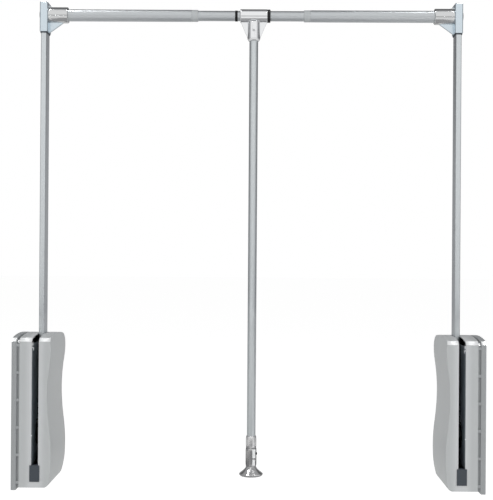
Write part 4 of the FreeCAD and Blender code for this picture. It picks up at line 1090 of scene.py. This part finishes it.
def handle():
    """Barrel-shaped ferrule, grip with two windows in its front, and a trumpet foot."""
    piece = turned("ferrule_barrel", "Z", ROD_AXIS, FERRULE, 72)
    look = {"width": 0.15, "segments": 2, "angle": 40, "finish_name": "ferrule"}
    dress(piece, "handle_ferrule", "pull_rod", "chrome", **look)
    piece = turned("grip_turned", "Z", ROD_AXIS, GRIP, 72, solid=True)
    # two recessed windows to the right of the middle
    out = Vector((math.cos(WINDOW_TURN), math.sin(WINDOW_TURN), 0))
    for low, high, width in WINDOWS:
        x = TEE_X + WINDOW_AWAY * math.cos(WINDOW_TURN)
        y = PIVOT_Y + WINDOW_AWAY * math.sin(WINDOW_TURN)
        window = begin(
            bpy.ops.mesh.primitive_cube_add,
            "window",
            size=1 * MM,
            location=mm(x, y, (low + high) / 2),
            rotation=(0, 0, WINDOW_TURN),
            scale=(2.4, width, high - low),
        )
        round_over(window, lambda edge: True, 0.7, 3)
        hollow(piece, end(window))
    look = {"width": 0.18, "segments": 2, "angle": 38, "finish_name": "handle"}
    dress(piece, "handle_grip", "pull_rod", "chrome", **look)
    # painted shade: the grip above the waist gets the darker copy of the nickel
    refinish(piece, "grip", lambda spot, normal: spot.z > GRIP_WAIST)
    # the windows' pale fill is a painted highlight
    for low, high in WINDOW_HIGHLIGHTS:

        def in_window(spot, normal):
            recessed = math.hypot(spot.x - TEE_X, spot.y - PIVOT_Y) < 9.3
            return low < spot.z < high and normal.dot(out) > 0.93 and recessed

        refinish(piece, "window_painted_highlight", in_window)
    profile = [(TEE_X - 9.4, 2.5), (TEE_X + 10.4, 2.5), (TEE_X + 10.9, 1.9)]
    pin = turned("cross_pin", "X", (0, PIVOT_Y, PIN_Z), profile, 32, solid=True)
    reopen(pin)
    pick_all()
    bpy.ops.transform.rotate(
        value=math.radians(22),
        orient_axis="Z",
        orient_type="GLOBAL",
        center_override=mm(TEE_X, PIVOT_Y, PIN_Z),
    )
    end(pin)
    dress(pin, "handle_pin", "pull_rod", "dark_steel", width=0.1, finish_name="black_nylon", **FINE)


for build in (casing, slot_shade_lining, slot_nub, lift_spring, wall_plate, bumper):
    build()
for build in (arm, corner, corner_screw, rail, tee, rod, handle):
    build()


# ---- stage, light and camera ----

CAMERA_PLACE = (0.0187, -1.956, 0.4076)
CAMERA_YAW, CAMERA_PITCH, CAMERA_ROLL = (math.radians(a) for a in (-0.703, 0.203, 0.390))
CAMERA_LENS, CAMERA_SENSOR = 79.4, 36


def add_camera():
    data = bpy.data.cameras.new("camera")
    data.lens = CAMERA_LENS
    data.sensor_width = CAMERA_SENSOR
    camera = bpy.data.objects.new("camera", data)
    yaw = Matrix.Rotation(-CAMERA_YAW, 4, "Z")
    pitch = Matrix.Rotation(math.pi / 2 + CAMERA_PITCH, 4, "X")
    roll = Matrix.Rotation(CAMERA_ROLL, 4, "Z")
    camera.matrix_world = Matrix.Translation(CAMERA_PLACE) @ (yaw @ pitch) @ roll
    bpy.context.scene.collection.objects.link(camera)
    bpy.context.scene.camera = camera


def soft_box(name, place, target, size, watts, glossy=False):
    """A rectangular lamp that faces a point, and lights either bare surfaces or their gloss."""
    data = bpy.data.lights.new(name, "AREA")
    data.shape = "RECTANGLE"
    data.size, data.size_y = size
    data.energy = watts
    lamp = bpy.data.objects.new(name, data)
    lamp.location = place
    lamp.rotation_euler = (Vector(target) - Vector(place)).to_track_quat("-Z", "Y").to_euler()
    lamp.visible_diffuse = not glossy
    lamp.visible_glossy = glossy
    bpy.context.scene.collection.objects.link(lamp)


def seen_as_white(tree, in_gloss=1.0):
    """1 for the camera's rays, and in_gloss for those of mirrors and glass, else 0."""
    path = tree.nodes.new("ShaderNodeLightPath")
    seen = path.outputs["Is Camera Ray"]
    for label in ("Is Glossy Ray", "Is Transmission Ray"):
        share = tree.nodes.new("ShaderNodeMath")
        share.operation = "MULTIPLY"
        share.inputs[1].default_value = in_gloss
        either = tree.nodes.new("ShaderNodeMath")
        either.operation = "MAXIMUM"
        wire(path, label, share, 0)
        tree.links.new(seen, either.inputs[0])
        wire(share, 0, either, 1)
        seen = either.outputs[0]
    return seen


BLACK, WHITE = (0, 0, 0, 1), (1, 1, 1, 1)
AMBIENT = 0.5
FLOOR_COLOUR, FLOOR_SIZE = (0.86, 0.86, 0.86, 1), 60
# The floor's own light: what the camera sees of it, and the share of that in gloss.
FLOOR_GLOW, FLOOR_IN_GLOSS = 0.56, 0.2
# Under everything that the lowered arms reach, since the units hang on side panels.
FLOOR_Z = -0.27


def add_world():
    world = bpy.data.worlds.new("studio")
    world.use_nodes = True
    tree = world.node_tree
    backdrop = tree.nodes["Background"]
    mix = tree.nodes.new("ShaderNodeMix")
    fill(mix, {"A": AMBIENT, "B": 1.0})
    tree.links.new(seen_as_white(tree), mix.inputs["Factor"])
    fill(backdrop, {"Color": WHITE})
    wire(mix, "Result", backdrop, "Strength")
    bpy.context.scene.world = world


def plain_material(name, values):
    """An even material; gives it and its shader."""
    material = bpy.data.materials.new(name)
    material.use_nodes = True
    shader = material.node_tree.nodes["Principled BSDF"]
    fill(shader, {"Specular IOR Level": 0.0})
    fill(shader, values)
    return material, shader


def add_floor():
    """Pale floor that reads white, and still takes the object's shadow."""
    bpy.ops.object.select_all(action="DESELECT")
    bpy.ops.mesh.primitive_plane_add(size=FLOOR_SIZE, location=(0, 0, FLOOR_Z))
    floor = bpy.context.active_object
    floor.name = "floor"
    look = {"Base Color": FLOOR_COLOUR, "Roughness": 0.9, "Emission Color": WHITE}
    material, shader = plain_material("floor", look)
    tree = material.node_tree
    mix = tree.nodes.new("ShaderNodeMath")
    mix.operation = "MULTIPLY"
    mix.inputs[1].default_value = FLOOR_GLOW
    tree.links.new(seen_as_white(tree, FLOOR_IN_GLOSS), mix.inputs[0])
    wire(mix, 0, shader, "Emission Strength")
    floor.data.materials.append(material)


def add_card(name, place, target, size, grey, turn=0.0, flag=False):
    """A card that shows only in gloss, or a flag that does nothing but shade the lamps."""
    bpy.ops.object.select_all(action="DESELECT")
    facing = (Vector(target) - Vector(place)).to_track_quat("Z", "Y").to_euler()
    facing.z += turn
    bpy.ops.mesh.primitive_plane_add(size=1, location=place, rotation=facing)
    card = bpy.context.active_object
    card.name = name
    card.scale = (*size, 1)
    glow = (grey, grey, grey * 1.02, 1)
    look = {"Base Color": BLACK, "Emission Color": glow, "Emission Strength": 1.0}
    card.data.materials.append(plain_material(name, look)[0])
    card.visible_camera = card.visible_diffuse = card.visible_transmission = False
    card.visible_glossy, card.visible_shadow = not flag, flag


add_camera()
add_world()
add_floor()
soft_box("key", place=(-1.6, -2.6, 2.2), target=(0, 0, 0.4), size=(2.4, 2.0), watts=42)
soft_box("fill", place=(1.8, -2.4, 1.2), target=(0, 0, 0.4), size=(2.0, 2.0), watts=26)
for side in (-1, 1):
    place, target = (0.8 * side, -0.14, 2.45), (0.37 * side, -0.067, 0.26)
    soft_box("brow_lamp", place, target, size=(0.6, 0.32), watts=15.5, glossy=True)
# keeps the brow lamps off the rail's top
add_card("rail_flag", place=(0, 0, 0.9), target=(0, 0, 2), size=(0.74, 0.11), grey=0, flag=True)
for name, side, watts in (("left_side_fill", -1, 1.3), ("right_side_fill", 1, 1.5)):
    place, target = (-0.25 * side, 0.55, 0.55), (0.35 * side, 0, 0.15)
    soft_box(name, place, target, size=(0.5, 0.5), watts=watts)
# grey cards darken the flanks of round metal
for name, place, target, size, grey in (
    ("back_card", (0, 3.2, 0.5), (0, 0, 0.5), (8, 1.2), 0.46),
    ("right_arm_card", (-0.35, 3.1, 0.9), (0, 0, 0.9), (0.55, 1.7), 0.25),
    ("left_arm_card", (0.5, 3.1, 0.85), (0.5, 0, 0.85), (1.0, 1.7), 0.42),
    ("high_back_card", (0, 3.2, 2.3), (0, 0, 2.3), (8, 2.4), 0.15),
    ("overhead_back_card", (0, 1.6, 3.5), (0, 1.6, 0), (8, 3.3), 0.18),
    ("overhead_card", (0, -0.5, 3.5), (0, -0.5, 0), (8, 0.9), 0.55),
    ("side_card", (-3.6, -1.6, 1.6), (0, -1.6, 1.6), (2.0, 3.4), 0.6),
    ("rear_side_card", (-3.6, 1.3, 1.6), (0, 1.3, 1.6), (3.8, 3.4), 0.22),
    ("side_card", (3.6, -1.6, 1.6), (0, -1.6, 1.6), (2.0, 3.4), 0.6),
    ("rear_side_card", (3.6, 1.3, 1.6), (0, 1.3, 1.6), (3.8, 3.4), 0.22),
    ("handle_card", (0, -0.35, 0), (0, -0.35, 1), (0.5, 0.8), 0.36),
    ("handle_back_card", (0, 0.3, 0), (0, 0.3, 1), (0.4, 0.5), 0.15),
    ("bell_left_card", (-0.26, -0.1, 0.3), (-0.26, -0.1, 0), (0.3, 0.55), 0.4),
    ("bell_right_card", (0.215, -0.1, 0.3), (0.215, -0.1, 0), (0.38, 0.55), 0.4),
):
    add_card(name, place, target, size, grey)
# two narrow strips in front of the handle, at an angle around it
STRIP_AWAY = 0.3
STRIPS = (("handle_right_strip", 50, 0.13, 0.85), ("handle_left_strip", -22, 0.04, 0.7))
for name, angle, width, grey in STRIPS:
    turn = math.radians(angle)
    spot = (TEE_X * MM + STRIP_AWAY * math.sin(turn), -STRIP_AWAY * math.cos(turn), 0.0006)
    add_card(name, spot, (spot[0], spot[1], 1), (width, 0.5), grey, turn)

bpy.context.scene.view_settings.view_transform = "Standard"
